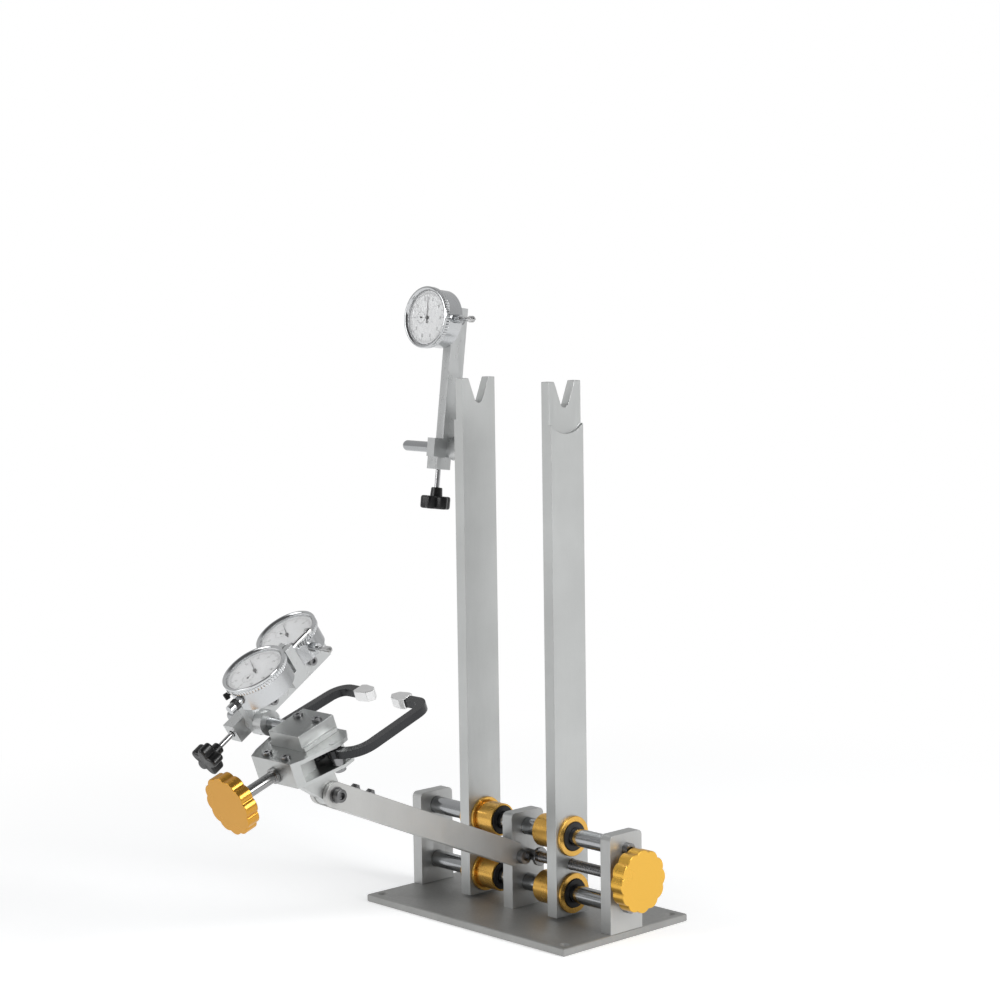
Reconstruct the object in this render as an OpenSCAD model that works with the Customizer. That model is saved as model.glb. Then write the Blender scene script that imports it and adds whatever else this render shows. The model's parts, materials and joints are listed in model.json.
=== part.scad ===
// Bench stand for truing bicycle wheels.
// X runs along the guide rods, Y away from the caliper arm, Z up.
// The origin is the centre of the base plate's underside. All sizes in millimetres.

/* [Base plate] */
// Length of the plate along the guide rods
base_len = 260; // [230:1:320]
// Depth of the plate across the guide rods
base_depth = 156; // [130:1:200]
// Thickness of the plate
base_thick = 7; // [5:0.5:12]
// Chamfer round the plate's top and bottom edges
base_chamfer = 0.8; // [0.3:0.1:1.5]
// Diameter of the four bench fixing holes
fixing_hole_d = 5.5; // [4:0.5:7]
// Countersink diameter of the fixing holes
fixing_sink_d = 9.5; // [9:0.5:11]
// Fixing hole distance from the plate's short edges
fixing_inset_x = 10; // [8:0.5:16]
// Fixing hole distance from the plate's long edges
fixing_inset_y = 11; // [8:0.5:20]

/* [Brackets] */
// Width of each bracket across the rods
bracket_w = 40; // [36:1:60]
// Thickness of each bracket along the rods
bracket_t = 12; // [10:0.5:16]
// Height of the bracket tops above the bench
bracket_top = 95; // [93:1:120]
// Radius of the brackets' top corners
bracket_corner_r = 5; // [2:0.5:8]
// Distance between the two countersunk screws under each bracket
bracket_screw_gap = 24; // [20:1:28]
// Thread diameter of the screws under the brackets
bracket_screw_d = 6; // [4:0.5:7]
// Length of those screws inside the bracket
bracket_screw_grip = 12; // [8:1:15]

/* [Guide rods and lead screw] */
// Diameter of the two guide rods
rod_d = 16; // [14:0.5:17]
// Height of the lower guide rod
rod_low_z = 29; // [28:0.5:31]
// Height of the upper guide rod
rod_high_z = 81; // [80:0.5:83]
// Depth of the pockets that seat the rods in the end brackets
rod_seat = 6; // [4:0.5:8]
// Diameter of the lead screw
screw_d = 10; // [8:0.5:10.5]
// Diameter of the lead screw's end journals
journal_d = 8; // [6:0.5:8]
// Height of the lead screw
screw_z = 55; // [54:0.5:56]
// Diameter of the two stop collars on the lead screw
collar_d = 17; // [14:0.5:20]
// Thickness of a stop collar
collar_t = 3; // [2:0.5:5]
// Distance from the middle bracket's centre to a stop collar
collar_x = 20; // [20:0.5:24]
// Thread diameter of the cap screws in the rod ends
cap_screw_d = 6; // [4:0.5:7]
// Length of a cap screw's thread inside the rod
cap_screw_grip = 12; // [8:1:20]

/* [Spreading knob] */
// Diameter over the lobes
knob_d = 56; // [48:1:64]
// Thickness of the lobed disc
knob_t = 13; // [10:0.5:18]
// Number of lobes
knob_lobes = 12; // [8:1:16]
// Radius of one lobe
knob_lobe_r = 9; // [8:0.5:11]
// Diameter of the hub behind the disc
knob_hub_d = 22; // [16:1:30]
// Length of the hub between the bracket and the disc
knob_hub_len = 7.4; // [7:0.2:10]

/* [Uprights] */
// Width of an upright
upright_w = 40; // [38:1:50]
// Thickness of an upright
upright_t = 12; // [10:0.5:15]
// Gap between an upright's foot and the base plate
foot_gap = 2; // [1:0.5:4]
// Height of the uprights' tops above the bench
upright_top = 488; // [430:1:540]
// Hub width between the uprights' inner faces
hub_width = 102; // [90:1:140]
// Drop from the uprights' tops to the axle's centre
axle_drop = 18; // [14:0.5:22]
// Radius at the bottom of the axle notch
notch_r = 5; // [4.5:0.5:6]
// Width of the axle notch at the top
notch_w = 25; // [18:0.5:28]
// Depth of the milled relief round the notch on the outer face
relief_depth = 3; // [1:0.5:4]
// Radius of the relief's lower edge round the axle
relief_r = 28; // [22:0.5:36]

/* [Rod bushings] */
// Diameter of a bushing's body
bushing_d = 30; // [28:0.5:31]
// Diameter of a bushing's flange and lock ring
flange_d = 36.5; // [35:0.5:38]
// Thickness of a bushing's flange and lock ring
flange_t = 3; // [2:0.5:4]
// Length of a bushing beyond the upright's inner face
bushing_reach = 24; // [18:1:28]
// Outer diameter of the sealed bearing inside a bushing
bearing_d = 26; // [24:0.5:27]
// How far the bearing's seals stand out of the bushing
seal_stand = 1.2; // [0.6:0.2:2]

/* [Caliper arm] */
// Distance between the arm's two pivots
arm_len = 234; // [210:1:260]
// Angle of the arm above the bench
arm_angle = 23.2; // [20:0.2:30]
// Depth of an arm bar
arm_h = 22; // [18:1:26]
// Thickness of an arm bar
arm_t = 5; // [3:0.5:6]
// Distance of the arm's pivot in front of the lead screw
arm_pivot_y = 13.2; // [13.2:0.1:14.5]
// Height of the arm's pivot above the bench
arm_pivot_z = 56; // [54:0.5:57]
// Diameter of the arm's two pivot bolts
pivot_d = 8; // [6:0.5:8]
// Radius of the tongue round the arm's lower pivot
tongue_r = 7.5; // [6.5:0.5:7.5]
// Length of the tongue before the bar has its full depth
tongue_len = 4.5; // [3:0.5:8]
// Diameter of a pivot bolt's head
bolt_head_d = 13; // [12:0.5:14]
// Thickness of a pivot bolt's head
bolt_head_t = 6; // [4:0.5:7]
// Diameter of the washer under the head pivot's bolt
washer_d = 17; // [15:0.5:20]
// Thickness of that washer
washer_t = 1.5; // [1:0.1:2]
// Length of the spacer between the arm bars
spacer_len = 44; // [40:1:60]
// Distance from the head's pivot to the spacer
spacer_gap = 15; // [14:0.5:20]
// Distance between the two screws on the spacer
spacer_screw_gap = 18; // [14:1:24]
// Head diameter of the spacer's screws
button_head_d = 9.5; // [8:0.5:11]
// Head height of the spacer's screws
button_head_t = 3.6; // [2:0.2:5]

/* [Caliper head] */
// Angle of the head above the bench
head_angle = 20; // [16:1:24]
// Width of the head's body
head_w = 40; // [38:1:44]
// Distance from the pivot forward to the body's front face
head_front = 44; // [40:1:52]
// Distance from the pivot back to the body's rear face
head_rear = 17; // [16:0.5:20]
// Height of the body's underside above the pivot
head_low = 33; // [31:0.5:38]
// Height of the body
head_h = 23; // [22.6:0.2:26]
// Thickness of the plate above the window for the fingers
window_roof = 3.5; // [3:0.1:4]
// Thickness of the plate below the window for the fingers
window_floor = 3; // [2.5:0.1:4]
// Thickness of the wall behind the window
window_wall = 3; // [2:0.1:4]
// Distance from the pivot forward to the window's front
window_front = 16; // [15.5:0.5:18]
// Thickness of the lug that carries the head
lug_t = 12; // [10:0.5:12]
// Radius of the lug round the pivot
lug_r = 10; // [8:0.5:12]
// Length of the block on top of the head
block_len = 40; // [34:1:46]
// Height of the block on top of the head
block_h = 14; // [13:0.5:20]
// Distance from the pivot back to the block's rear face
block_rear = 16; // [12:0.5:17]
// Width of the ledge at the foot of the block, on each side
block_ledge = 3; // [1:0.5:4]
// Height of the ledge at the foot of the block
block_ledge_h = 3.5; // [2:0.5:5]
// Thread diameter of the head's four screws
head_screw_d = 5; // [3:0.5:6]
// Head diameter of the head's four screws
head_screw_head_d = 8.5; // [8:0.5:9.5]
// Distance between the head's paired screws
head_screw_gap = 25; // [20:1:26]

/* [Caliper screw and knob] */
// Height of the caliper screw above the body's underside
caliper_rise = 9; // [8.6:0.1:10]
// Diameter of the caliper screw in front of the head
caliper_d = 10; // [9:0.5:12]
// Diameter of the caliper screw's thread inside the head
caliper_core_d = 8; // [7:0.5:8]
// Length of the caliper screw in front of the head
caliper_reach = 42; // [34:1:60]
// Travel of the jaws' nut for one turn of the screw
caliper_pitch = 1.5; // [1:0.25:2]
// Diameter of the caliper knob over its lobes
caliper_knob_d = 53; // [44:1:60]
// Thickness of the caliper knob
caliper_knob_t = 12; // [9:0.5:16]
// Radius of one lobe of the caliper knob
caliper_lobe_r = 8.5; // [7.5:0.5:10]
// Diameter of the caliper knob's hub
caliper_hub_d = 18; // [14:1:24]
// Length of the caliper knob's hub
caliper_hub_len = 8; // [5:0.5:14]

/* [Fingers] */
// Distance of a finger's pivot from the middle of the head
finger_pivot_x = 35; // [34.5:0.1:36]
// Distance of the fingers' pivots in front of the head's pivot
finger_pivot_f = 4; // [3:0.5:5]
// Diameter of a finger's pivot pin
finger_pin_d = 6; // [4:0.5:6]
// Width of a finger
finger_w = 8.5; // [6:0.5:10]
// Thickness of a finger
finger_t = 7; // [5:0.5:8]
// Gap between a finger and the window's roof
finger_drop = 1.6; // [1:0.1:3]
// Distance of a finger's straight stretch from the middle of the head
finger_out = 59.5; // [56:0.5:68]
// Distance from the head's pivot to the middle of the finger's cross bar
finger_reach = 85.5; // [76:0.5:110]
// Distance of a finger's point from the middle of the head
tip_x = 12; // [10:0.5:16]
// Length of a finger's tip
tip_len = 21; // [14:0.5:26]
// Width of a finger's tip
tip_w = 14; // [10:0.5:16]
// Turns of the caliper knob that open the fingers fully
open_turns = 3; // [2:0.5:4]
// Angle through which a finger opens
open_angle = 18; // [16:0.5:22]

/* [Gauge rails] */
// Diameter of the posts that carry the gauge rails
post_d = 10; // [8:0.5:11]
// Distance of the rim gauges' post end from the middle of the head
post_end_x = 102; // [100:1:116]
// Thickness of a gauge rail
rail_t = 10; // [8:0.5:11]
// Depth of a gauge rail
rail_h = 18; // [15:0.5:18]
// Width of a rail's leg round the post
rail_leg_w = 17; // [15:0.5:20]
// Radius of a rail's leg round the post
rail_leg_r = 11.6; // [10.5:0.1:11.8]
// Height of a rail's leg above the post
rail_leg_high = 26; // [20:0.5:30]
// Depth of a rail's straight bar below the post's axis
rail_drop = 2; // [1:0.5:3]
// Diameter of the boss that stiffens a rail on its post
rail_boss_d = 22; // [16:0.5:24]
// Length of that boss
rail_boss_len = 11; // [6:0.5:11]
// Distance of the rim gauges' rail from the middle of the head
rim_rail_x = 55; // [55:0.5:60]
// Length of the rim gauges' rail from its post
rim_rail_len = 91; // [86:1:110]
// Angle of the rim gauges' rail above the bench
rim_rail_angle = 33.5; // [30:0.5:38]
// Distance of the side gauge's rail outside its upright
side_rail_gap = 21; // [20:0.5:26]
// Length of the side gauge's rail from its post
side_rail_len = 130; // [120:1:150]
// Angle of the side gauge's rail above the bench
side_rail_angle = 82.5; // [78:0.5:88]
// Length of the side gauge's post outside the upright
side_post_len = 92; // [88:1:110]
// Depth of the side gauge's post inside the upright
side_post_seat = 7; // [5:0.5:9]
// Drop from the upright's top to the side gauge's post
side_post_drop = 67; // [60:1:90]

/* [Gauge clamps] */
// Width of a clamp block along its post
clamp_w = 13.7; // [12:0.1:15]
// Depth of a clamp block in front of its post
clamp_front = 20; // [16:0.5:24]
// Depth of a clamp block behind its post
clamp_rear = 7; // [6.5:0.5:7]
// Height of a clamp block
clamp_h = 17; // [14:0.5:17]
// Distance between a clamp block and its rail
clamp_gap = 4; // [3:0.1:6]
// Diameter of a thumb screw's shank
thumb_d = 6.5; // [5:0.5:7]
// Distance from a post's axis to the thumb screw's knob
thumb_reach = 37; // [30:1:46]
// Diameter of the thumb screw's knob
thumb_knob_d = 29; // [24:1:34]
// Thickness of the thumb screw's knob
thumb_knob_t = 12; // [8:0.5:16]
// Length of the neck between shank and knob
thumb_neck = 8; // [4:0.5:10]

/* [Radial gauge bracket] */
// Height of the cross arm's underside above the post
cross_low = 38; // [36:0.5:42]
// Depth of the cross arm
cross_h = 12; // [12:0.5:17]
// Width of the cross arm along the rail
cross_w = 16; // [12:0.5:18]
// Distance of the cross arm from the post along the rail
cross_s = 10.5; // [9:0.5:14]
// Thickness of the bracket behind the rail
cross_back = 5; // [5:0.5:10]
// Width of the stem clamp
stem_clamp_w = 15; // [14:0.5:20]
// Wall of the stem clamp above the stem
stem_clamp_wall = 2.5; // [2:0.5:6]
// Length of the stem clamp along the stem
stem_clamp_len = 9; // [6:0.5:9]
// Width of the slit in the stem clamp
slit_w = 1.6; // [1:0.1:2.5]

/* [Dial gauges] */
// Diameter of a gauge's bezel
bezel_d = 57; // [54:0.5:58]
// Diameter of a gauge's case
case_d = 53.4; // [50:0.2:53.6]
// Thickness of a gauge from back to bezel
gauge_h = 23; // [20:0.5:26]
// Height of a gauge's bezel
bezel_h = 7; // [5:0.5:8]
// Diameter of the dial that shows
dial_d = 48; // [44:0.5:50]
// Thickness of the dial plate
dial_t = 0.8; // [0.5:0.1:1.2]
// Wall of a gauge's case
case_wall = 2; // [1.5:0.1:3]
// Depth of the plunger's axis below the bezel's front
plunger_depth = 13.5; // [12:0.5:14.5]
// Diameter of a gauge's stem
stem_d = 8; // [6.5:0.5:8.5]
// Diameter of a gauge's plunger
plunger_d = 4.4; // [3.5:0.1:5]
// Stem length of the radial gauge outside its case
radial_stem = 16; // [14:0.5:20]
// Stem length of the two sideways gauges outside their cases
side_stem = 9; // [6:0.5:10]
// Distance from the radial gauge's centre to its contact point
radial_reach = 66; // [64:1:76]
// Distance from a sideways gauge's centre to its contact point
side_reach = 54; // [52:1:62]
// Travel of the plungers
plunger_travel = 8; // [5:0.5:8]
// Diameter of the contact at a plunger's end
contact_d = 6; // [5:0.5:7]
// Thickness of a gauge's mounting lug
lug_fin_t = 6; // [4:0.5:7]
// Height of a gauge's mounting lug
lug_fin_h = 13; // [11:0.5:14]
// Width of a gauge's mounting lug
lug_fin_w = 14; // [12:0.5:18]
// Radial gauge's centre before the post, along the rail
radial_gauge_s = 9.5; // [9:0.5:12]
// Height of the radial gauge's bezel above the post
radial_gauge_t = 78; // [77.5:0.5:84]
// Lateral gauge's centre behind the post, along the rail
lateral_gauge_s = 70.5; // [66:0.5:76]
// Side gauge's centre behind its post, along the rail
side_gauge_s = 118; // [100:1:124]
// Angle of the radial gauge's pointer from the line of its plunger
radial_pointer_turn = 59; // [0:1:359]
// Angle of the lateral gauge's pointer from the line of its plunger
lateral_pointer_turn = 147; // [0:1:359]
// Angle of the side gauge's pointer from the line of its plunger
side_pointer_turn = 92; // [0:1:359]

/* [Fits] */
// Radial clearance of parts that turn or slide on each other
running_gap = 0.05; // [0.02:0.01:0.1]
// Radial clearance of screws and pressed parts in their holes
seat_gap = 0.04; // [0.02:0.01:0.08]
// Space between the faces of parts that move past each other
side_gap = 0.3; // [0.2:0.05:0.5]

/* [Hidden] */
$fn = 64;
ROUND = 32;
THROUGH = 400;

end_x = base_len / 2;
rod_zs = [rod_low_z, rod_high_z];
pocket_x = end_x - bracket_t + rod_seat;
upright_in = hub_width / 2;
upright_out = upright_in + upright_t;
upright_low = base_thick + foot_gap;
axle_z = upright_top - axle_drop;
knob_x = end_x + side_gap;
bar_in = bracket_t / 2 + side_gap;
bar_out = bar_in + arm_t;

head_pivot = [0, -arm_pivot_y - arm_len * cos(arm_angle), arm_pivot_z + arm_len * sin(arm_angle)];
head_top = head_low + head_h;
window_low = head_low + window_floor;
window_high = head_top - window_roof;
block_front = block_len - block_rear;
caliper_n = head_low + caliper_rise;
caliper_ring_d = 2 * (caliper_rise - window_floor - side_gap);
rear_journal_d = caliper_core_d - 2;
finger_high = window_high - finger_drop;
finger_low = finger_high - finger_t;
tail_len = open_turns * caliper_pitch / (open_angle * PI / 180);
tail_r = 3.8;
tail_neck = 4;
notch_gap = 0.2;
traveller_half = 8;
prong_gap = 0.4;
post_f = (block_rear - block_front) / 2;
post_n = head_top + block_h / 2;

post_y = head_pivot[1] + post_f * cos(head_angle) - post_n * sin(head_angle);
post_z = head_pivot[2] + post_f * sin(head_angle) + post_n * cos(head_angle);
side_post_z = upright_top - side_post_drop;
side_rail_x = upright_out + side_rail_gap;
gauge_seat = rail_h - rail_drop + 0.5 + gauge_h;
screw_hole_t = (rail_h - rail_drop) / 2;
rail_screw_d = 5;
rail_screw_head_d = 8;
rail_screw_head_t = 4;
stem_axis_t = radial_gauge_t - plunger_depth;
stem_s0 = bezel_d / 2 - radial_gauge_s + 0.5;

// ---------- shared shapes ----------

// Lay a flat outline drawn in Y and Z out along X from x0 to x1
module along_x(x0, x1) {
    translate([x0, 0, 0]) rotate([90, 0, 90]) linear_extrude(x1 - x0) children();
}

// A round bar along X
module bar_x(x0, x1, d, y = 0, z = 0) {
    translate([x0, y, z]) rotate([0, 90, 0]) cylinder(d = d, h = x1 - x0);
}

// A round bar along Y
module bar_y(y0, y1, d, x = 0, z = 0) {
    translate([x, y1, z]) rotate([90, 0, 0]) cylinder(d = d, h = y1 - y0);
}

// A round bar along Z
module bar_z(z0, z1, d, x = 0, y = 0) {
    translate([x, y, z0]) cylinder(d = d, h = z1 - z0);
}

// A hexagonal bar along X, d across its flats
module hex_x(x0, x1, d, y = 0, z = 0) {
    translate([x0, y, z]) rotate([0, 90, 0]) cylinder(d = d / cos(30), h = x1 - x0, $fn = 6);
}

// A box from its lowest to its highest corner
module block(low, high) {
    translate(low) cube(high - low);
}

// Outline of a knob: a disc with round lobes on its edge
module lobed_disc(d, lobes, lobe_r) {
    circle(d = d - 1.2 * lobe_r);
    for (i = [0:lobes - 1])
        rotate(i * 360 / lobes) translate([d / 2 - lobe_r, 0]) circle(r = lobe_r, $fn = 48);
}

// A strip of even width along a list of points
function strip(points, width) = let (last = len(points) - 1) concat(
    [for (i = [0:last]) points[i] + side_step(points, i, width / 2)],
    [for (i = [last:-1:0]) points[i] - side_step(points, i, width / 2)]);

// Sideways step at one point of the strip
function side_step(points, i, step) = let (
    before = points[max(i - 1, 0)],
    after = points[min(i + 1, len(points) - 1)],
    along = (after - before) / norm(after - before)) [-along[1], along[0]] * step;

// Points along a cubic curve between two ends with two control points
function curve(a, b, c, d, steps) = [for (i = [0:steps]) let (t = i / steps, u = 1 - t)
    a * u * u * u + 3 * b * u * u * t + 3 * c * u * t * t + d * t * t * t];

// ---------- base, brackets and rods ----------

module plate_profile(w) {
    c = base_chamfer;
    polygon([[-w / 2 + c, 0], [w / 2 - c, 0], [w / 2, c], [w / 2, base_thick - c],
        [w / 2 - c, base_thick], [-w / 2 + c, base_thick], [-w / 2, base_thick - c], [-w / 2, c]]);
}

module bracket_places() {
    for (x = [-end_x + bracket_t / 2, 0, end_x - bracket_t / 2])
        for (y = [-1, 1]) translate([x, y * bracket_screw_gap / 2, 0]) children();
}

module base_plate() {
    sink = (fixing_sink_d - fixing_hole_d) / 2;
    color([0.62, 0.64, 0.65]) difference() {
        intersection() {
            along_x(-end_x, end_x) plate_profile(base_depth);
            rotate([0, 0, 90]) along_x(-base_depth / 2, base_depth / 2) plate_profile(base_len);
        }
        for (x = [-1, 1]) for (y = [-1, 1])
            translate([x * (end_x - fixing_inset_x), y * (base_depth / 2 - fixing_inset_y), 0]) {
                bar_z(-1, base_thick + 1, fixing_hole_d);
                translate([0, 0, base_thick - sink])
                    cylinder(d1 = fixing_hole_d, d2 = fixing_sink_d + 2, h = sink + 1);
            }
        bracket_places() {
            bar_z(-1, base_thick + 1, bracket_screw_d + 2 * seat_gap);
            translate([0, 0, -1]) cylinder(d1 = 2 * bracket_screw_d + 2 * seat_gap + 2,
                d2 = bracket_screw_d + 2 * seat_gap, h = bracket_screw_d / 2 + 1);
        }
    }
}

module bracket_screws() {
    color([0.55, 0.56, 0.58]) bracket_places() {
        bar_z(0.2, base_thick + bracket_screw_grip, bracket_screw_d);
        translate([0, 0, 0.2])
            cylinder(d1 = 2 * bracket_screw_d - 0.4, d2 = bracket_screw_d, h = bracket_screw_d / 2 - 0.2);
    }
}

// Bracket outline with two rounded top corners, drawn in Y and Z
module bracket_outline() {
    r = bracket_corner_r;
    translate([-bracket_w / 2, base_thick]) square([bracket_w, bracket_top - base_thick - r]);
    translate([-bracket_w / 2 + r, base_thick]) square([bracket_w - 2 * r, bracket_top - base_thick]);
    for (s = [-1, 1]) translate([s * (bracket_w / 2 - r), bracket_top - r]) circle(r = r);
}

module bracket(x) {
    difference() {
        along_x(x - bracket_t / 2, x + bracket_t / 2) bracket_outline();
        for (y = [-1, 1]) bar_z(base_thick - 1, base_thick + bracket_screw_grip + 1,
            bracket_screw_d + 2 * seat_gap, x, y * bracket_screw_gap / 2);
        children();
    }
}

// End bracket on the side given by the sign s
module end_bracket(s) {
    color([0.68, 0.70, 0.71]) bracket(s * (end_x - bracket_t / 2)) {
        for (z = rod_zs) {
            bar_x(s > 0 ? 0 : -pocket_x, s > 0 ? pocket_x : 0, rod_d + 2 * seat_gap, 0, z);
            bar_x(-THROUGH, THROUGH, cap_screw_d + 2 * seat_gap, 0, z);
        }
        bar_x(s > 0 ? 0 : -end_x + 2, s > 0 ? THROUGH : 0, journal_d + 2 * running_gap, 0, screw_z);
    }
}

module bracket_left() { end_bracket(-1); }

module bracket_right() { end_bracket(1); }

module bracket_middle() {
    color([0.68, 0.70, 0.71]) bracket(0) {
        for (z = rod_zs) bar_x(-THROUGH, THROUGH, rod_d + 2 * seat_gap, 0, z);
        bar_x(-THROUGH, THROUGH, screw_d + 2 * running_gap, 0, screw_z);
        bar_x(-THROUGH, THROUGH, pivot_d + 2 * seat_gap, -arm_pivot_y, arm_pivot_z);
    }
}

module guide_rods() {
    color([0.78, 0.79, 0.80]) for (z = rod_zs) difference() {
        bar_x(-pocket_x, pocket_x, rod_d, 0, z);
        for (s = [-1, 1]) bar_x(s > 0 ? pocket_x - cap_screw_grip - 1 : -pocket_x - 1,
            s > 0 ? pocket_x + 1 : -pocket_x + cap_screw_grip + 1, cap_screw_d + 2 * seat_gap, 0, z);
    }
}

// Socket head cap screw along +X with its seat at the origin
module cap_screw(d, grip) {
    difference() {
        union() {
            bar_x(0, d, 1.8 * d);
            bar_x(-grip, 0.01, d);
        }
        hex_x(0.5 * d, d + 1, 0.8 * d);
    }
}

module rod_end_screws() {
    color([0.45, 0.46, 0.48]) for (s = [0, 180]) for (z = rod_zs)
        rotate([0, 0, s]) translate([end_x, 0, z])
            cap_screw(cap_screw_d, bracket_t - rod_seat + cap_screw_grip);
}

module lead_screw() {
    inner = end_x - bracket_t - side_gap;
    color([0.25, 0.26, 0.28]) {
        bar_x(-inner, inner, screw_d, 0, screw_z);
        bar_x(-end_x + 2 + side_gap, knob_x + knob_hub_len + knob_t - 3, journal_d, 0, screw_z);
        for (s = [-1, 1]) difference() {
            bar_x(s > 0 ? collar_x : -collar_x - collar_t,
                s > 0 ? collar_x + collar_t : -collar_x, collar_d, 0, screw_z);
            bar_x(-inner, inner, screw_d + 2 * seat_gap, 0, screw_z);
        }
    }
}

module spread_knob() {
    disc_x = knob_x + knob_hub_len;
    color([0.89, 0.68, 0.22]) difference() {
        union() {
            bar_x(knob_x, disc_x + 0.01, knob_hub_d, 0, screw_z);
            translate([disc_x, 0, screw_z]) rotate([90, 0, 90]) linear_extrude(knob_t)
                lobed_disc(knob_d, knob_lobes, knob_lobe_r);
        }
        bar_x(0, disc_x + knob_t - 3, journal_d + 2 * seat_gap, 0, screw_z);
    }
}

// ---------- uprights and bushings ----------

// Axle notch: a V whose sides meet a round bottom at a tangent, drawn in Y and Z
module notch_outline() {
    half = notch_w / 2;
    lean = atan2(axle_drop, half) - acos(notch_r / norm([half, axle_drop]));
    touch = [notch_r * cos(lean), axle_z + notch_r * sin(lean)];
    over = half + (half - touch[0]) / (upright_top - touch[1]);
    translate([0, axle_z]) circle(r = notch_r);
    polygon([[-touch[0], touch[1]], [touch[0], touch[1]], [over, upright_top + 1], [-over, upright_top + 1]]);
}

// Upright on the +X side; the left one is its mirror image
module upright() {
    difference() {
        along_x(upright_in, upright_out)
            translate([-upright_w / 2, upright_low]) square([upright_w, upright_top - upright_low]);
        along_x(upright_in - 1, upright_out + 1) notch_outline();
        along_x(upright_out - relief_depth, upright_out + 1) {
            translate([0, axle_z]) circle(r = relief_r, $fn = 96);
            translate([-upright_w, axle_z]) square([2 * upright_w, upright_w]);
        }
        for (z = rod_zs) bar_x(0, THROUGH, bushing_d + 2 * seat_gap, 0, z);
        bar_x(0, THROUGH, screw_d + 2 * running_gap, 0, screw_z);
    }
}

// Flanged housings and their lock rings for the +X side
module bushings() {
    for (z = rod_zs) {
        difference() {
            union() {
                bar_x(upright_in - bushing_reach, upright_out + 0.01, bushing_d, 0, z);
                bar_x(upright_out, upright_out + flange_t, flange_d, 0, z);
            }
            bar_x(0, THROUGH, bearing_d + 2 * seat_gap, 0, z);
        }
        difference() {
            bar_x(upright_in - flange_t, upright_in, flange_d, 0, z);
            bar_x(0, THROUGH, bushing_d + 2 * seat_gap, 0, z);
        }
    }
}

// Sealed bearings inside the bushings for the +X side
module bearings() {
    for (z = rod_zs) difference() {
        bar_x(upright_in - bushing_reach - seal_stand, upright_out + flange_t + seal_stand, bearing_d, 0, z);
        bar_x(0, THROUGH, rod_d + 2 * running_gap, 0, z);
    }
}

module upright_right() { color([0.74, 0.76, 0.77]) upright(); }

module upright_left() {
    color([0.74, 0.76, 0.77]) difference() {
        mirror([1, 0, 0]) upright();
        bar_x(-THROUGH, -upright_out + side_post_seat, post_d + 2 * seat_gap, 0, side_post_z);
    }
}

module bushings_right() { color([0.85, 0.60, 0.16]) bushings(); }

module bushings_left() { color([0.85, 0.60, 0.16]) mirror([1, 0, 0]) bushings(); }

module bearings_right() { color([0.08, 0.08, 0.09]) bearings(); }

module bearings_left() { color([0.08, 0.08, 0.09]) mirror([1, 0, 0]) bearings(); }

// ---------- caliper arm ----------

// Frame of the arm: Y runs from the lower pivot to the head's pivot, Z is the arm's upper side
module on_arm() {
    translate([0, -arm_pivot_y, arm_pivot_z]) rotate([-arm_angle, 0, 0]) mirror([0, 1, 0]) children();
}

// Pivot bolt along X: hexagon head at +X, nut at -X, its shank between grip and -grip
module pivot_bolt(grip) {
    bar_x(-grip - bolt_head_t, grip + 0.01, pivot_d);
    difference() {
        bar_x(grip, grip + bolt_head_t, bolt_head_d);
        hex_x(grip + bolt_head_t / 2, grip + bolt_head_t + 1, 0.5 * bolt_head_d);
    }
    difference() {
        hex_x(-grip - bolt_head_t + 0.5, -grip, bolt_head_d - 1.5);
        bar_x(-THROUGH, 0, pivot_d + 2 * seat_gap);
    }
}

module arm_pivot_bolt() {
    color([0.50, 0.50, 0.52]) translate([0, -arm_pivot_y, arm_pivot_z]) pivot_bolt(bar_out + side_gap);
}

// Bar outline in the arm's own Y and Z
module arm_outline() {
    difference() {
        union() {
            translate([tongue_len, -arm_h / 2]) square([arm_len - tongue_len, arm_h]);
            translate([arm_len, 0]) circle(d = arm_h);
            circle(r = tongue_r);
            translate([0, -tongue_r]) square([tongue_len + 1, 2 * tongue_r]);
        }
        circle(d = pivot_d + 2 * running_gap);
        translate([arm_len, 0]) circle(d = pivot_d + 2 * seat_gap);
    }
}

module arm_bar_near() { color([0.70, 0.71, 0.71]) on_arm() along_x(bar_in, bar_out) arm_outline(); }

module arm_bar_far() { color([0.70, 0.71, 0.71]) on_arm() along_x(-bar_out, -bar_in) arm_outline(); }

module spacer_places() {
    for (s = [-1, 1])
        translate([0, arm_len - spacer_gap - spacer_len / 2 + s * spacer_screw_gap / 2, arm_h / 2]) children();
}

module arm_spacer() {
    color([0.70, 0.71, 0.71]) on_arm() difference() {
        block([-bar_in, arm_len - spacer_gap - spacer_len, -arm_h / 2],
            [bar_in, arm_len - spacer_gap, arm_h / 2]);
        spacer_places() bar_z(-arm_h / 2, 1, 5 + 2 * seat_gap);
    }
}

module arm_spacer_screws() {
    color([0.35, 0.35, 0.36]) on_arm() spacer_places() difference() {
        union() {
            bar_z(-arm_h / 2 + 1, 0.01, 5);
            cylinder(d1 = button_head_d, d2 = 0.62 * button_head_d, h = button_head_t);
        }
        translate([0, 0, button_head_t / 2]) cylinder(d = 3.5, h = button_head_t, $fn = 6);
    }
}

module head_pivot_bolt() {
    color([0.50, 0.50, 0.52]) translate(head_pivot) {
        pivot_bolt(bar_out + washer_t);
        for (s = [0, 180]) rotate([0, 0, s]) difference() {
            bar_x(bar_out, bar_out + washer_t, washer_d);
            bar_x(0, THROUGH, pivot_d + 2 * seat_gap);
        }
    }
}

// ---------- caliper head ----------

// Frame of the head: origin on its pivot, Y towards the wheel, Z square to the fingers
module on_head() {
    translate(head_pivot) rotate([head_angle, 0, 0]) children();
}

module lug_outline() {
    difference() {
        union() {
            circle(r = lug_r);
            polygon([[-lug_r, 0], [lug_r, 0], [lug_r - 2, head_low + 0.01], [-0.6 * head_front, head_low + 0.01],
                [-0.6 * head_front, head_low - 12]]);
        }
        circle(d = pivot_d + 2 * running_gap);
    }
}

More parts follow.
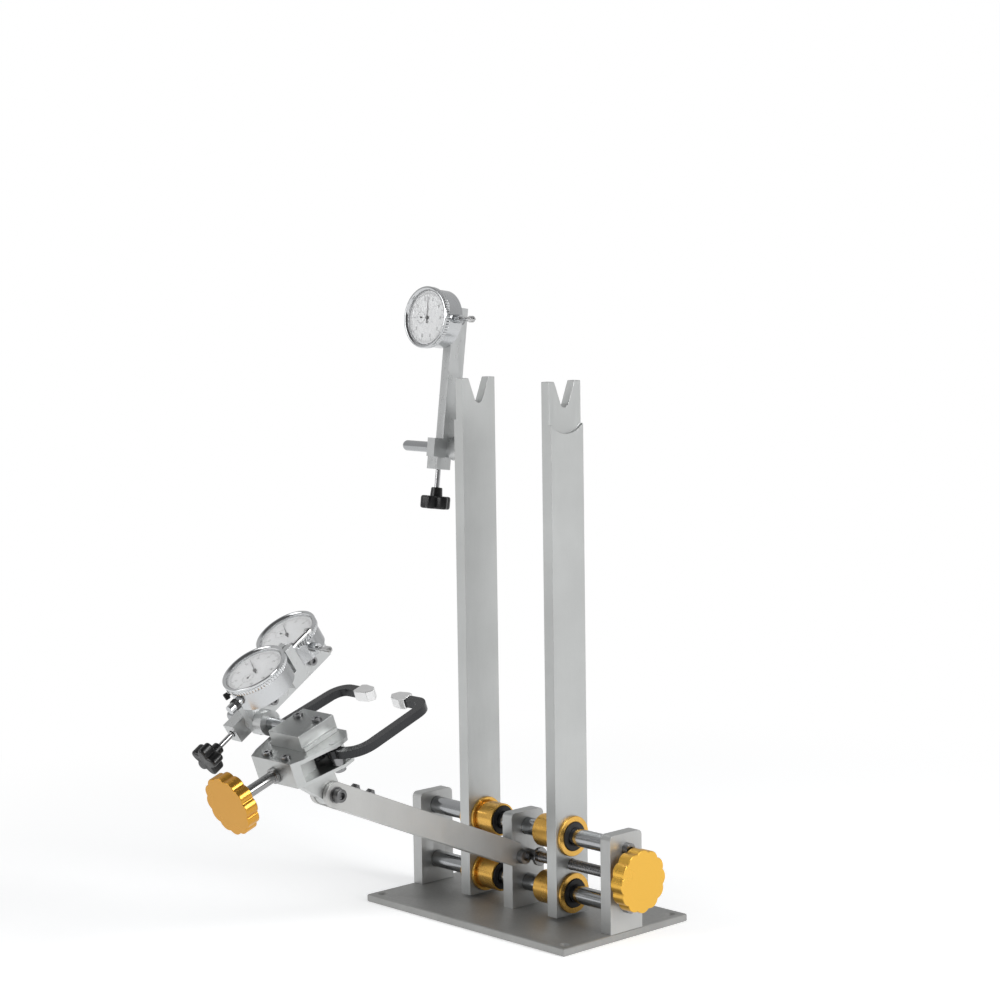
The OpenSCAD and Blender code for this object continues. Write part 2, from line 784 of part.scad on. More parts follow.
// The four screws: two at the body's front edge and two on the top block
module head_screw_places() {
    for (s = [-1, 1]) {
        translate([s * head_screw_gap / 2, -head_front + 7, head_top]) children();
        translate([s * head_screw_gap / 2, block_rear - 12, head_top + block_h]) children();
    }
}

module head_body() {
    color([0.66, 0.67, 0.67]) on_head() difference() {
        union() {
            block([-head_w / 2, -head_front, head_low], [head_w / 2, head_rear, head_top]);
            along_x(-lug_t / 2, lug_t / 2) lug_outline();
        }
        block([-head_w, -window_front, window_low], [head_w, head_rear - window_wall, window_high]);
        bar_y(-head_front - 1, -window_front + 1, caliper_core_d + 2 * running_gap, 0, caliper_n);
        bar_y(0, head_rear + 1, rear_journal_d + 2 * running_gap, 0, caliper_n);
        for (s = [-1, 1]) bar_z(head_top - 4, head_top + 1, head_screw_d + 2 * seat_gap,
            s * head_screw_gap / 2, -head_front + 7);
    }
}

module head_top_block() {
    color([0.60, 0.61, 0.60]) on_head() difference() {
        union() {
            block([-head_w / 2, -block_front, head_top], [head_w / 2, block_rear, head_top + block_h]);
            block([-head_w / 2 - block_ledge, -block_front, head_top],
                [head_w / 2 + block_ledge, block_rear - block_ledge, head_top + block_ledge_h]);
        }
        bar_x(-THROUGH, head_w / 2 - 2, post_d + 2 * seat_gap, post_f, post_n);
        for (s = [-1, 1]) bar_z(head_top + 1, head_top + block_h + 1, head_screw_d + 2 * seat_gap,
            s * head_screw_gap / 2, block_rear - 12);
    }
}

module head_screws() {
    grip = 3.5;
    color([0.40, 0.40, 0.41]) on_head() head_screw_places() difference() {
        union() {
            bar_z(-grip, 0.01, head_screw_d);
            cylinder(d = head_screw_head_d, h = 2.5);
        }
        translate([0, 0, 1.2]) cylinder(d = 3.5, h = 2.5, $fn = 6);
    }
}

// Flange of the +X fork
module fork_outline(x0) {
    polygon([[x0, -head_front], [x0 + 6, -head_front], [x0 + 11.5, -head_front + 10],
        [finger_pivot_x + 6, -finger_pivot_f + 3], [finger_pivot_x + 4.5, 9], [x0 + 10, head_rear], [x0, head_rear]]);
}

// Fork on the +X side that carries one finger
module fork() {
    x0 = head_w / 2;
    difference() {
        union() {
            translate([0, 0, head_low]) linear_extrude(window_floor) fork_outline(x0);
            translate([0, 0, window_high]) linear_extrude(window_roof) fork_outline(x0);
            translate([0, 0, head_low]) linear_extrude(head_h)
                polygon([[x0, -head_front], [x0 + 6, -head_front], [x0 + 9.8, -head_front + 7], [x0, -head_front + 7]]);
        }
        bar_z(0, THROUGH, finger_pin_d + 2 * seat_gap, finger_pivot_x, -finger_pivot_f);
    }
}

module fork_near() { color([0.72, 0.73, 0.73]) on_head() fork(); }

module fork_far() { color([0.72, 0.73, 0.73]) on_head() mirror([1, 0, 0]) fork(); }

module finger_pivots() {
    color([0.70, 0.70, 0.71]) on_head() for (s = [-1, 1]) translate([s * finger_pivot_x, -finger_pivot_f, 0]) {
        bar_z(head_low - 3, head_top + 0.3, finger_pin_d);
        difference() {
            union() {
                bar_z(head_low - 3, head_low, finger_pin_d + 4);
                bar_z(window_low, finger_low - side_gap, finger_pin_d + 4);
                bar_z(finger_high + side_gap, window_high, finger_pin_d + 3);
            }
            bar_z(0, THROUGH, finger_pin_d - 0.01);
        }
    }
}

module gauge_post() {
    color([0.62, 0.62, 0.62]) on_head() translate([0, post_f, post_n]) {
        bar_x(-post_end_x + post_d / 2, head_w / 2 - 2.2, post_d);
        translate([-post_end_x + post_d / 2, 0, 0]) sphere(d = post_d);
    }
}

// ---------- caliper screw ----------

module caliper_screw() {
    color([0.35, 0.35, 0.36]) on_head() {
        bar_y(-head_front - caliper_reach - 2, -head_front - side_gap, caliper_d, 0, caliper_n);
        bar_y(-head_front - side_gap - 3, -head_front - side_gap, caliper_d + 4, 0, caliper_n);
        bar_y(-head_front - side_gap - 0.1, head_rear - window_wall - 2, caliper_core_d, 0, caliper_n);
        bar_y(0, head_rear - 0.5, rear_journal_d, 0, caliper_n);
        bar_y(-window_front + side_gap, -window_front + side_gap + 1.4, caliper_ring_d, 0, caliper_n);
    }
}

module caliper_knob() {
    hub_f = -head_front - caliper_reach + caliper_hub_len;
    color([0.89, 0.68, 0.22]) on_head() difference() {
        union() {
            bar_y(hub_f - caliper_hub_len - 0.01, hub_f, caliper_hub_d, 0, caliper_n);
            translate([0, hub_f - caliper_hub_len, caliper_n]) rotate([90, 0, 0]) linear_extrude(caliper_knob_t)
                lobed_disc(caliper_knob_d, knob_lobes, caliper_lobe_r);
        }
        bar_y(-head_front - caliper_reach - 2, 0, caliper_d + 2 * seat_gap, 0, caliper_n);
    }
}

// Nut that the caliper screw drives along, with a fork on each end for a finger's tail
module caliper_traveller() {
    reach = finger_pivot_x - tail_len;
    low = finger_low - prong_gap;
    high = window_high - prong_gap;
    color([0.50, 0.48, 0.44]) on_head() translate([0, -finger_pivot_f, 0]) difference() {
        union() {
            block([-11, -traveller_half, window_low + prong_gap], [11, traveller_half, high]);
            block([-reach - 5, -traveller_half, low], [reach + 5, traveller_half, high]);
        }
        bar_y(-THROUGH, THROUGH, caliper_core_d + 2 * running_gap, 0, caliper_n);
        for (s = [-1, 1]) translate([s * (reach + 2), 0, 0])
            block([-6.3, -tail_r - notch_gap, 0], [6.3, tail_r + notch_gap, THROUGH]);
    }
}

// ---------- fingers ----------

// Middle line of the +X finger from its pivot to where its tip begins
function finger_line() = let (
    start = [finger_pivot_x, -finger_pivot_f],
    bend = [finger_out, 18],
    corner = [finger_out - 2, finger_reach - 15],
    turn = [finger_out - 15, finger_reach],
    end = [tip_x + tip_len - 4, finger_reach])
    concat(curve(start, start + [12, 0], bend - [0, 16], bend, 14),
        curve(corner, corner + [0, 9], turn + [7, 0], turn, 12), [end]);

module finger_outline() {
    tail = finger_pivot_x - tail_len;
    difference() {
        union() {
            polygon(strip(finger_line(), finger_w));
            translate([finger_pivot_x, -finger_pivot_f]) circle(r = 6.5);
            translate([tail, -finger_pivot_f]) circle(r = tail_r);
            translate([tail, -finger_pivot_f - tail_neck / 2]) square([tail_len, tail_neck]);
        }
        translate([finger_pivot_x, -finger_pivot_f]) circle(d = finger_pin_d + 2 * running_gap);
    }
}

module finger() { translate([0, 0, finger_low]) linear_extrude(finger_t) finger_outline(); }

// Spade tip on the +X finger: a pocket takes the finger's end, the far end comes to a point
module finger_tip() {
    wall = 1.2;
    root = tip_x + tip_len;
    difference() {
        translate([0, 0, finger_low - wall]) linear_extrude(finger_t + 2 * wall)
            translate([0, finger_reach]) polygon([[root, -0.4 * tip_w], [root, 0.4 * tip_w],
                [root - 5, 0.5 * tip_w], [tip_x + 5, 0.4 * tip_w], [tip_x, 0],
                [tip_x + 5, -0.4 * tip_w], [root - 5, -0.5 * tip_w]]);
        block([root - 4 - seat_gap, finger_reach - finger_w / 2 - seat_gap, finger_low - seat_gap],
            [root + 9, finger_reach + finger_w / 2 + seat_gap, finger_high + seat_gap]);
    }
}

module finger_near() { color([0.22, 0.22, 0.24]) on_head() finger(); }

module finger_far() { color([0.22, 0.22, 0.24]) on_head() mirror([1, 0, 0]) finger(); }

module finger_near_tip() { color([0.72, 0.72, 0.72]) on_head() finger_tip(); }

module finger_far_tip() { color([0.72, 0.72, 0.72]) on_head() mirror([1, 0, 0]) finger_tip(); }

// ---------- gauge rails ----------

// Frame of a rail: origin on its post's axis at the rail's +X face, Y along the rail, Z to the gauges
module on_rim_rail() {
    translate([-rim_rail_x, post_y, post_z]) rotate([rim_rail_angle, 0, 0]) children();
}

module on_side_rail() {
    translate([-side_rail_x, 0, side_post_z]) rotate([side_rail_angle, 0, 0]) children();
}

// A rail with its leg, boss and spacer collar; holes gives the screw holes along it
module rail(length, holes) {
    difference() {
        union() {
            along_x(-rail_t, 0) {
                translate([-rail_leg_w / 2, 0]) square([rail_leg_w, rail_leg_high]);
                intersection() {
                    circle(r = rail_leg_r);
                    square([rail_leg_w, 2 * rail_leg_r], center = true);
                }
                translate([0, -rail_drop]) square([length, rail_h]);
            }
            bar_x(-0.01, rail_boss_len, rail_boss_d);
            bar_x(-rail_t - clamp_gap + side_gap, -rail_t + 0.01, post_d + 8);
        }
        bar_x(-THROUGH, THROUGH, post_d + 2 * running_gap);
        for (s = holes) bar_x(-THROUGH, THROUGH, rail_screw_d + 2 * seat_gap, s, screw_hole_t);
    }
}

// Block that slides on a post and is locked by a thumb screw
module clamp() {
    x1 = -rail_t - clamp_gap;
    difference() {
        block([x1 - clamp_w, -clamp_front, -clamp_h / 2], [x1, clamp_rear, clamp_h / 2]);
        bar_x(-THROUGH, THROUGH, post_d + 2 * running_gap);
        bar_y(-THROUGH, 0, thumb_d + 2 * running_gap, x1 - clamp_w / 2, 0);
    }
}

// Thumb screw with a five-lobed knob
module thumb_screw() {
    x = -rail_t - clamp_gap - clamp_w / 2;
    tip = -post_d / 2 - side_gap;
    translate([x, 0, 0]) {
        bar_y(-thumb_reach - thumb_neck, tip, thumb_d);
        bar_y(-thumb_reach - thumb_neck, -thumb_reach, 0.42 * thumb_knob_d);
        translate([0, -thumb_reach - thumb_neck, 0]) rotate([90, 0, 0]) linear_extrude(thumb_knob_t) {
            circle(d = 0.7 * thumb_knob_d);
            for (i = [0:4]) rotate(i * 72) translate([0.36 * thumb_knob_d, 0]) circle(d = 0.28 * thumb_knob_d);
        }
    }
}

// Screw through a rail along +X, head on the rail's +X face
module rail_screw(s, grip) {
    translate([0, s, screw_hole_t]) difference() {
        union() {
            bar_x(0, rail_screw_head_t, rail_screw_head_d);
            bar_x(-grip, 0.01, rail_screw_d);
        }
        hex_x(rail_screw_head_t / 2, rail_screw_head_t + 1, 0.5 * rail_screw_head_d);
    }
}

module rim_rail() {
    color([0.70, 0.71, 0.72]) on_rim_rail() rail(rim_rail_len, [cross_s + cross_w / 2, lateral_gauge_s]);
}

module side_rail() { color([0.70, 0.71, 0.72]) on_side_rail() rail(side_rail_len, [side_gauge_s]); }

module rim_clamp() { color([0.74, 0.75, 0.75]) on_rim_rail() clamp(); }

module side_clamp() { color([0.74, 0.75, 0.75]) on_side_rail() clamp(); }

module rim_thumb_screw() { color([0.08, 0.08, 0.09]) on_rim_rail() thumb_screw(); }

module side_thumb_screw() { color([0.08, 0.08, 0.09]) on_side_rail() thumb_screw(); }

module rim_rail_screws() {
    color([0.45, 0.45, 0.46]) on_rim_rail() {
        rail_screw(cross_s + cross_w / 2, rail_t + cross_back - 2);
        rail_screw(lateral_gauge_s, rail_t + lug_fin_t);
    }
}

module side_rail_screw() {
    color([0.45, 0.45, 0.46]) on_side_rail() rail_screw(side_gauge_s, rail_t + lug_fin_t);
}

module side_post() {
    x0 = -upright_out - side_post_len;
    color([0.66, 0.66, 0.66]) translate([0, 0, side_post_z]) {
        bar_x(x0 + post_d / 2, -upright_out + side_post_seat, post_d);
        translate([x0 + post_d / 2, 0, 0]) sphere(d = post_d);
    }
}

// Riser, cross arm and split stem clamp that bring the radial gauge over the rim
module radial_bracket() {
    back = -rail_t - cross_back;
    clamp_x = rim_rail_x;
    screw_s = cross_s + cross_w / 2;
    color([0.72, 0.73, 0.73]) on_rim_rail() difference() {
        union() {
            block([back, cross_s, 0.5], [-rail_t, cross_s + cross_w, cross_low + cross_h]);
            block([back, cross_s, cross_low], [clamp_x + stem_clamp_w / 2, cross_s + cross_w, cross_low + cross_h]);
            block([clamp_x - stem_clamp_w / 2, stem_s0, cross_low],
                [clamp_x + stem_clamp_w / 2, stem_s0 + stem_clamp_len, stem_axis_t + stem_d / 2 + stem_clamp_wall]);
        }
        bar_x(-THROUGH, -rail_t + 1, rail_screw_d + 2 * seat_gap, screw_s, screw_hole_t);
        bar_y(stem_s0 - 1, stem_s0 + stem_clamp_len + 30, stem_d + 2 * seat_gap, clamp_x, stem_axis_t);
        block([clamp_x - slit_w / 2, stem_s0 - 1, stem_axis_t], [clamp_x + slit_w / 2, THROUGH, THROUGH]);
    }
}

// ---------- dial gauges ----------

// Gauge frame: Z out of the dial, X along the plunger towards its contact, origin on the bezel's front
module on_radial_gauge() {
    on_rim_rail() translate([rim_rail_x, -radial_gauge_s, radial_gauge_t]) rotate([0, 0, 90]) children();
}

module on_lateral_gauge() {
    on_rim_rail() translate([-rail_t - lug_fin_t / 2, lateral_gauge_s, gauge_seat]) children();
}

module on_side_gauge() {
    on_side_rail() translate([-rail_t - lug_fin_t / 2, side_gauge_s, gauge_seat]) children();
}

// Case with stem, plunger cap and, where lug is true, a mounting lug
module gauge_case(stem, lug) {
    r = case_d / 2;
    cap = r + plunger_travel + 4;
    lug_hole = gauge_h + 0.5 + rail_h - rail_drop - screw_hole_t;
    difference() {
        union() {
            bar_z(-gauge_h, -bezel_h, case_d);
            bar_x(-cap, r + stem, stem_d, 0, -plunger_depth);
            if (lug) block([-lug_fin_t / 2, -lug_fin_w / 2, -gauge_h - lug_fin_h],
                [lug_fin_t / 2, lug_fin_w / 2, -gauge_h + 0.01]);
        }
        bar_z(-gauge_h + case_wall, 0, case_d - 2 * case_wall);
        bar_x(-cap + 1, THROUGH, plunger_d + 2 * running_gap, 0, -plunger_depth);
        if (lug) bar_x(-THROUGH, THROUGH, rail_screw_d + 2 * seat_gap, 0, -lug_hole);
    }
}

module gauge_bezel() {
    difference() {
        bar_z(-bezel_h + side_gap, 0, bezel_d);
        bar_z(-bezel_h + side_gap + 1.5, 1, dial_d + 2);
        bar_z(-bezel_h, 1, dial_d - 2);
    }
}

module gauge_dial() {
    low = -bezel_h + side_gap + 1.5;
    difference() {
        bar_z(low, low + dial_t, dial_d + 2 - 2 * seat_gap);
        bar_z(-bezel_h, 1, 3);
    }
}

// Pointer on its arbor: one long arm and a short tail
module gauge_pointer(turn) {
    low = -bezel_h + side_gap + 1.5 + dial_t + 0.7;
    rotate([0, 0, turn]) {
        bar_z(-plunger_depth + plunger_d / 2 + 0.5, low + 0.8, 2);
        bar_z(low, low + 0.8, 4.5);
        translate([0, 0, low]) linear_extrude(0.4)
            polygon([[-7, -0.9], [-7, 0.9], [0, 0.8], [0.42 * dial_d, 0.25], [0.42 * dial_d, -0.25], [0, -0.8]]);
    }
}

// Plunger with its contact point
module gauge_plunger(reach) {
    translate([0, 0, -plunger_depth]) {
        bar_x(-case_d / 2 - 2, reach - 2, plunger_d);
        bar_x(reach - 7, reach - 2.99, contact_d);
        translate([reach - 3, 0, 0]) rotate([0, 90, 0]) cylinder(d1 = contact_d - 0.5, d2 = 1.6, h = 3);
    }
}

module radial_case() { color([0.76, 0.77, 0.78]) on_radial_gauge() gauge_case(radial_stem, false); }

module radial_bezel() { color([0.66, 0.67, 0.68]) on_radial_gauge() gauge_bezel(); }

module radial_dial() { color([0.93, 0.93, 0.91]) on_radial_gauge() gauge_dial(); }

module radial_pointer() { color([0.10, 0.10, 0.11]) on_radial_gauge() gauge_pointer(radial_pointer_turn); }

module radial_plunger() { color([0.78, 0.78, 0.79]) on_radial_gauge() gauge_plunger(radial_reach); }

module lateral_case() { color([0.76, 0.77, 0.78]) on_lateral_gauge() gauge_case(side_stem, true); }

module lateral_bezel() { color([0.66, 0.67, 0.68]) on_lateral_gauge() gauge_bezel(); }

module lateral_dial() { color([0.93, 0.93, 0.91]) on_lateral_gauge() gauge_dial(); }

module lateral_pointer() { color([0.10, 0.10, 0.11]) on_lateral_gauge() gauge_pointer(lateral_pointer_turn); }

module lateral_plunger() { color([0.78, 0.78, 0.79]) on_lateral_gauge() gauge_plunger(side_reach); }

module side_case() { color([0.76, 0.77, 0.78]) on_side_gauge() gauge_case(side_stem, true); }

module side_bezel() { color([0.66, 0.67, 0.68]) on_side_gauge() gauge_bezel(); }

module side_dial() { color([0.93, 0.93, 0.91]) on_side_gauge() gauge_dial(); }

module side_pointer() { color([0.10, 0.10, 0.11]) on_side_gauge() gauge_pointer(side_pointer_turn); }

module side_plunger() { color([0.78, 0.78, 0.79]) on_side_gauge() gauge_plunger(side_reach); }

// ---------- one line per node ----------

base_plate();
bracket_left();
bracket_middle();
bracket_right();
guide_rods();
rod_end_screws();
bracket_screws();
arm_pivot_bolt();
lead_screw();
spread_knob();
upright_left();
bushings_left();
bearings_left();
upright_right();
bushings_right();
bearings_right();
arm_bar_near();
arm_bar_far();
arm_spacer();
arm_spacer_screws();
head_pivot_bolt();
head_body();
head_top_block();
fork_near();
fork_far();
head_screws();
finger_pivots();
gauge_post();
caliper_knob();
caliper_screw();
caliper_traveller();
finger_near();
finger_near_tip();
finger_far();
finger_far_tip();
rim_clamp();
rim_thumb_screw();
rim_rail();
radial_bracket();
rim_rail_screws();
side_post();
side_clamp();
side_thumb_screw();
side_rail();
side_rail_screw();
radial_case();
radial_bezel();
radial_dial();
radial_pointer();
radial_plunger();
lateral_case();
lateral_bezel();
lateral_dial();
lateral_pointer();
lateral_plunger();
side_case();
side_bezel();
side_dial();
side_pointer();
side_plunger();
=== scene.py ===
import json
import math

import bmesh
import bpy
import numpy as np
from mathutils import Matrix, Vector


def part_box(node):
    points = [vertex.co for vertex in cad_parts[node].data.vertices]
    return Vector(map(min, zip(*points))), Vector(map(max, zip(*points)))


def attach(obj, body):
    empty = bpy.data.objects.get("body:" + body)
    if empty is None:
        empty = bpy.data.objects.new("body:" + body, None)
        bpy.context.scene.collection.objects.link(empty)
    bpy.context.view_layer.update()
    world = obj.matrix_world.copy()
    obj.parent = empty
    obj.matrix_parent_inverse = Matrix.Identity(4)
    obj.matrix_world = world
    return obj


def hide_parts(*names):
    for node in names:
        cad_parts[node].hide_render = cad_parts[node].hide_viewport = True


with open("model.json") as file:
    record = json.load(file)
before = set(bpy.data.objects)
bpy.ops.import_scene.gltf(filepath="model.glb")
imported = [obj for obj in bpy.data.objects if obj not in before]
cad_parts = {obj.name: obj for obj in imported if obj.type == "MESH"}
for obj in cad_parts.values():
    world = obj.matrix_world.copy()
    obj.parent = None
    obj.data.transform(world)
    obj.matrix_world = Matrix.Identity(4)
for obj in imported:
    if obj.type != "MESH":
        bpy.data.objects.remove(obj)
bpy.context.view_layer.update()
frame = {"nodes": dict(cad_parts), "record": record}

# Studio: a pale floor that fades into a white surround, two large soft lamps and the camera.
# Both lamps are square and face the middle of the stand.
# The surround is white for the camera. Metal mirrors a pale sweep behind the object and a dim room in front.
FADE_NEAR, FADE_FAR = 0.34, 0.95
FLOOR_COLOUR, FLOOR_LIFT = 0.93, 0.33
SURROUND_LIGHT = 0.42
ROOM_SIDE = (0.66, -0.70, 0.28)
SWEEP_TONE, ROOM_TONE = 0.74, 0.15


def link(tree, start, end):
    """Join two sockets of one node tree."""
    tree.links.new(start, end)


surround = bpy.data.worlds.new("white_surround")
surround.use_nodes = True
tree = surround.node_tree
tree.nodes.clear()
seen = tree.nodes.new("ShaderNodeBackground")
seen.inputs["Color"].default_value = (1, 1, 1, 1)
glow = tree.nodes.new("ShaderNodeBackground")
glow.inputs["Color"].default_value = (0.97, 0.985, 1, 1)
glow.inputs["Strength"].default_value = SURROUND_LIGHT
choose = tree.nodes.new("ShaderNodeMixShader")
out = tree.nodes.new("ShaderNodeOutputWorld")
path = tree.nodes.new("ShaderNodeLightPath")
direct = tree.nodes.new("ShaderNodeMath")
direct.operation = "MAXIMUM"
link(tree, path.outputs["Is Camera Ray"], direct.inputs[0])
link(tree, path.outputs["Is Transmission Ray"], direct.inputs[1])
towards = tree.nodes.new("ShaderNodeTexCoord")
facing = tree.nodes.new("ShaderNodeVectorMath")
facing.operation = "DOT_PRODUCT"
facing.inputs[1].default_value = ROOM_SIDE
room = tree.nodes.new("ShaderNodeMapRange")
room.interpolation_type = "SMOOTHSTEP"
room.inputs["From Min"].default_value = -0.15
room.inputs["From Max"].default_value = 0.45
room.inputs["To Min"].default_value = SWEEP_TONE
room.inputs["To Max"].default_value = ROOM_TONE
mirrored = tree.nodes.new("ShaderNodeBackground")
link(tree, towards.outputs["Generated"], facing.inputs[0])
link(tree, facing.outputs["Value"], room.inputs["Value"])
link(tree, room.outputs["Result"], mirrored.inputs["Strength"])
gloss = tree.nodes.new("ShaderNodeMixShader")
link(tree, path.outputs["Is Glossy Ray"], gloss.inputs[0])
link(tree, glow.outputs[0], gloss.inputs[1])
link(tree, mirrored.outputs[0], gloss.inputs[2])
link(tree, direct.outputs[0], choose.inputs[0])
link(tree, gloss.outputs[0], choose.inputs[1])
link(tree, seen.outputs[0], choose.inputs[2])
link(tree, choose.outputs[0], out.inputs["Surface"])
bpy.context.scene.world = surround

floor_mesh = bpy.data.meshes.new("floor")
floor_mesh.from_pydata([(-9, -9, 0), (9, -9, 0), (9, 9, 0), (-9, 9, 0)], [], [(0, 1, 2, 3)])
floor = bpy.data.objects.new("floor", floor_mesh)
bpy.context.collection.objects.link(floor)
floor_paint = bpy.data.materials.new("pale_floor")
floor_paint.use_nodes = True
tree = floor_paint.node_tree
tree.nodes.clear()
matte = tree.nodes.new("ShaderNodeBsdfDiffuse")
matte.inputs["Color"].default_value = (FLOOR_COLOUR, FLOOR_COLOUR, FLOOR_COLOUR, 1)
lift = tree.nodes.new("ShaderNodeEmission")
lift.inputs["Strength"].default_value = FLOOR_LIFT
near = tree.nodes.new("ShaderNodeAddShader")
white = tree.nodes.new("ShaderNodeEmission")
white.inputs["Strength"].default_value = 1.0
place = tree.nodes.new("ShaderNodeTexCoord")
reach = tree.nodes.new("ShaderNodeVectorMath")
reach.operation = "LENGTH"
fade = tree.nodes.new("ShaderNodeMapRange")
fade.interpolation_type = "SMOOTHSTEP"
fade.inputs["From Min"].default_value = FADE_NEAR
fade.inputs["From Max"].default_value = FADE_FAR
blend = tree.nodes.new("ShaderNodeMixShader")
out = tree.nodes.new("ShaderNodeOutputMaterial")
link(tree, matte.outputs[0], near.inputs[0])
link(tree, lift.outputs[0], near.inputs[1])
link(tree, place.outputs["Object"], reach.inputs[0])
link(tree, reach.outputs["Value"], fade.inputs["Value"])
link(tree, fade.outputs["Result"], blend.inputs[0])
link(tree, near.outputs[0], blend.inputs[1])
link(tree, white.outputs[0], blend.inputs[2])
link(tree, blend.outputs[0], out.inputs["Surface"])
floor.data.materials.append(floor_paint)


def soft_lamp(name, place, aim, size, watts):
    """Square area lamp at one point that faces another."""
    lamp = bpy.data.lights.new(name, "AREA")
    lamp.shape = "SQUARE"
    lamp.size = size
    lamp.energy = watts
    holder = bpy.data.objects.new(name, lamp)
    holder.location = place
    holder.rotation_euler = (Vector(aim) - Vector(place)).to_track_quat("-Z", "Y").to_euler()
    bpy.context.collection.objects.link(holder)


LAMP_AIM = (0, 0, 0.2)
soft_lamp("key_lamp", place=(2.4, 0.3, 1.3), aim=LAMP_AIM, size=1.2, watts=44)
soft_lamp("fill_lamp", place=(-1.0, -2.5, 1.4), aim=LAMP_AIM, size=1.6, watts=26)

CAMERA_PLACE = (1.5844, -1.5152, 0.6070)
CAMERA_YAW, CAMERA_PITCH, CAMERA_ROLL = 46.72, -5.93, -0.81
CAMERA_LENS = 88.06
yaw, pitch, roll = (math.radians(angle) for angle in (CAMERA_YAW, CAMERA_PITCH, CAMERA_ROLL))
ahead = Vector((-math.sin(yaw) * math.cos(pitch), math.cos(yaw) * math.cos(pitch), math.sin(pitch)))
level = Vector((math.cos(yaw), math.sin(yaw), 0))
above = level.cross(ahead)
right = level * math.cos(roll) + above * math.sin(roll)
over = above * math.cos(roll) - level * math.sin(roll)
lens = bpy.data.cameras.new("camera")
lens.sensor_width = 36
lens.lens = CAMERA_LENS
lens.clip_start = 0.05
lens.clip_end = 60
camera = bpy.data.objects.new("camera", lens)
camera.matrix_world = (Matrix.Translation(CAMERA_PLACE)
                       @ Matrix((right, over, -ahead)).transposed().to_4x4())
bpy.context.collection.objects.link(camera)
bpy.context.scene.camera = camera
bpy.context.scene.view_settings.view_transform = "Standard"

# Base plate and its three brackets, cut from aluminium plate, bead blasted and clear anodised.
# The sharp edges are broken by hand, so each solid gets narrow rounds that catch the light.
PLATE_COLOUR, BRACKET_COLOUR = (0.32, 0.32, 0.312), (0.47, 0.475, 0.47)


def effect_group(name, inputs, outputs):
    """Shader node group with named sockets, with its input and output nodes."""
    group = bpy.data.node_groups.new(name, "ShaderNodeTree")
    for label, kind, value in inputs:
        group.interface.new_socket(label, in_out="INPUT", socket_type=kind).default_value = value
    for label, kind in outputs:
        group.interface.new_socket(label, in_out="OUTPUT", socket_type=kind)
    return group, group.nodes.new("NodeGroupInput"), group.nodes.new("NodeGroupOutput")


def noise(tree, vector, scale, detail=2.0, rough=0.5):
    """Noise texture on a vector; scale counts its features per metre."""
    node = tree.nodes.new("ShaderNodeTexNoise")
    node.inputs["Scale"].default_value = scale
    node.inputs["Detail"].default_value = detail
    node.inputs["Roughness"].default_value = rough
    link(tree, vector, node.inputs["Vector"])
    return node.outputs["Fac"]


def spread(tree, value, low, high, to_low, to_high):
    """Value stretched from one range to another, held at the ends; the new ends may be sockets."""
    node = tree.nodes.new("ShaderNodeMapRange")
    node.inputs["From Min"].default_value = low
    node.inputs["From Max"].default_value = high
    for label, end in (("To Min", to_low), ("To Max", to_high)):
        if isinstance(end, (int, float)):
            node.inputs[label].default_value = end
        else:
            link(tree, end, node.inputs[label])
    link(tree, value, node.inputs["Value"])
    return node.outputs["Result"]


def math_node(tree, operation, first, second):
    """One sum of two values; each may be a number or a socket."""
    node = tree.nodes.new("ShaderNodeMath")
    node.operation = operation
    for i, value in enumerate((first, second)):
        if isinstance(value, (int, float)):
            node.inputs[i].default_value = value
        else:
            link(tree, value, node.inputs[i])
    return node.outputs[0]


def toned(tree, colour, factor):
    """Colour made lighter or darker by a factor that changes over the surface."""
    node = tree.nodes.new("ShaderNodeVectorMath")
    node.operation = "SCALE"
    link(tree, colour, node.inputs[0])
    link(tree, factor, node.inputs["Scale"])
    return node.outputs[0]


def make_blasted_group():
    """Bead-blasted skin: fine pits, a soft cloud in the tone, and thin handling marks."""
    group, start, end = effect_group("blasted_skin", [
        ("Vector", "NodeSocketVector", (0, 0, 0)), ("Colour", "NodeSocketColor", (1, 1, 1, 1)),
        ("Cloud", "NodeSocketFloat", 0.05), ("Roughness", "NodeSocketFloat", 0.4)],
        [("Colour", "NodeSocketColor"), ("Roughness", "NodeSocketFloat"), ("Height", "NodeSocketFloat")])
    vector = start.outputs["Vector"]
    pits = noise(group, vector, 2600, 1.0)
    cloud = noise(group, vector, 16, 3.0)
    stretch = group.nodes.new("ShaderNodeVectorMath")
    stretch.operation = "MULTIPLY"
    stretch.inputs[1].default_value = (1, 1, 0.12)
    link(group, vector, stretch.inputs[0])
    marks = noise(group, stretch.outputs[0], 340, 4.0, 0.6)
    low = math_node(group, "SUBTRACT", 1.0, start.outputs["Cloud"])
    high = math_node(group, "ADD", 1.0, start.outputs["Cloud"])
    tone = spread(group, cloud, 0.3, 0.7, low, high)
    speck = spread(group, pits, 0.3, 0.7, 0.97, 1.03)
    link(group, toned(group, start.outputs["Colour"], math_node(group, "MULTIPLY", tone, speck)),
         end.inputs["Colour"])
    worn = spread(group, marks, 0.35, 0.7, -0.05, 0.06)
    link(group, math_node(group, "ADD", start.outputs["Roughness"], worn), end.inputs["Roughness"])
    link(group, math_node(group, "ADD", pits, math_node(group, "MULTIPLY", marks, 0.3)), end.inputs["Height"])
    return group


def place_group(tree, group, values):
    """A group put into a material with its own values on the sockets."""
    node = tree.nodes.new("ShaderNodeGroup")
    node.node_tree = group
    for label, value in values.items():
        if isinstance(value, bpy.types.NodeSocket):
            link(tree, value, node.inputs[label])
        elif isinstance(value, tuple) and len(value) == 3 and node.inputs[label].type == "RGBA":
            node.inputs[label].default_value = (*value, 1)
        else:
            node.inputs[label].default_value = value
    return node


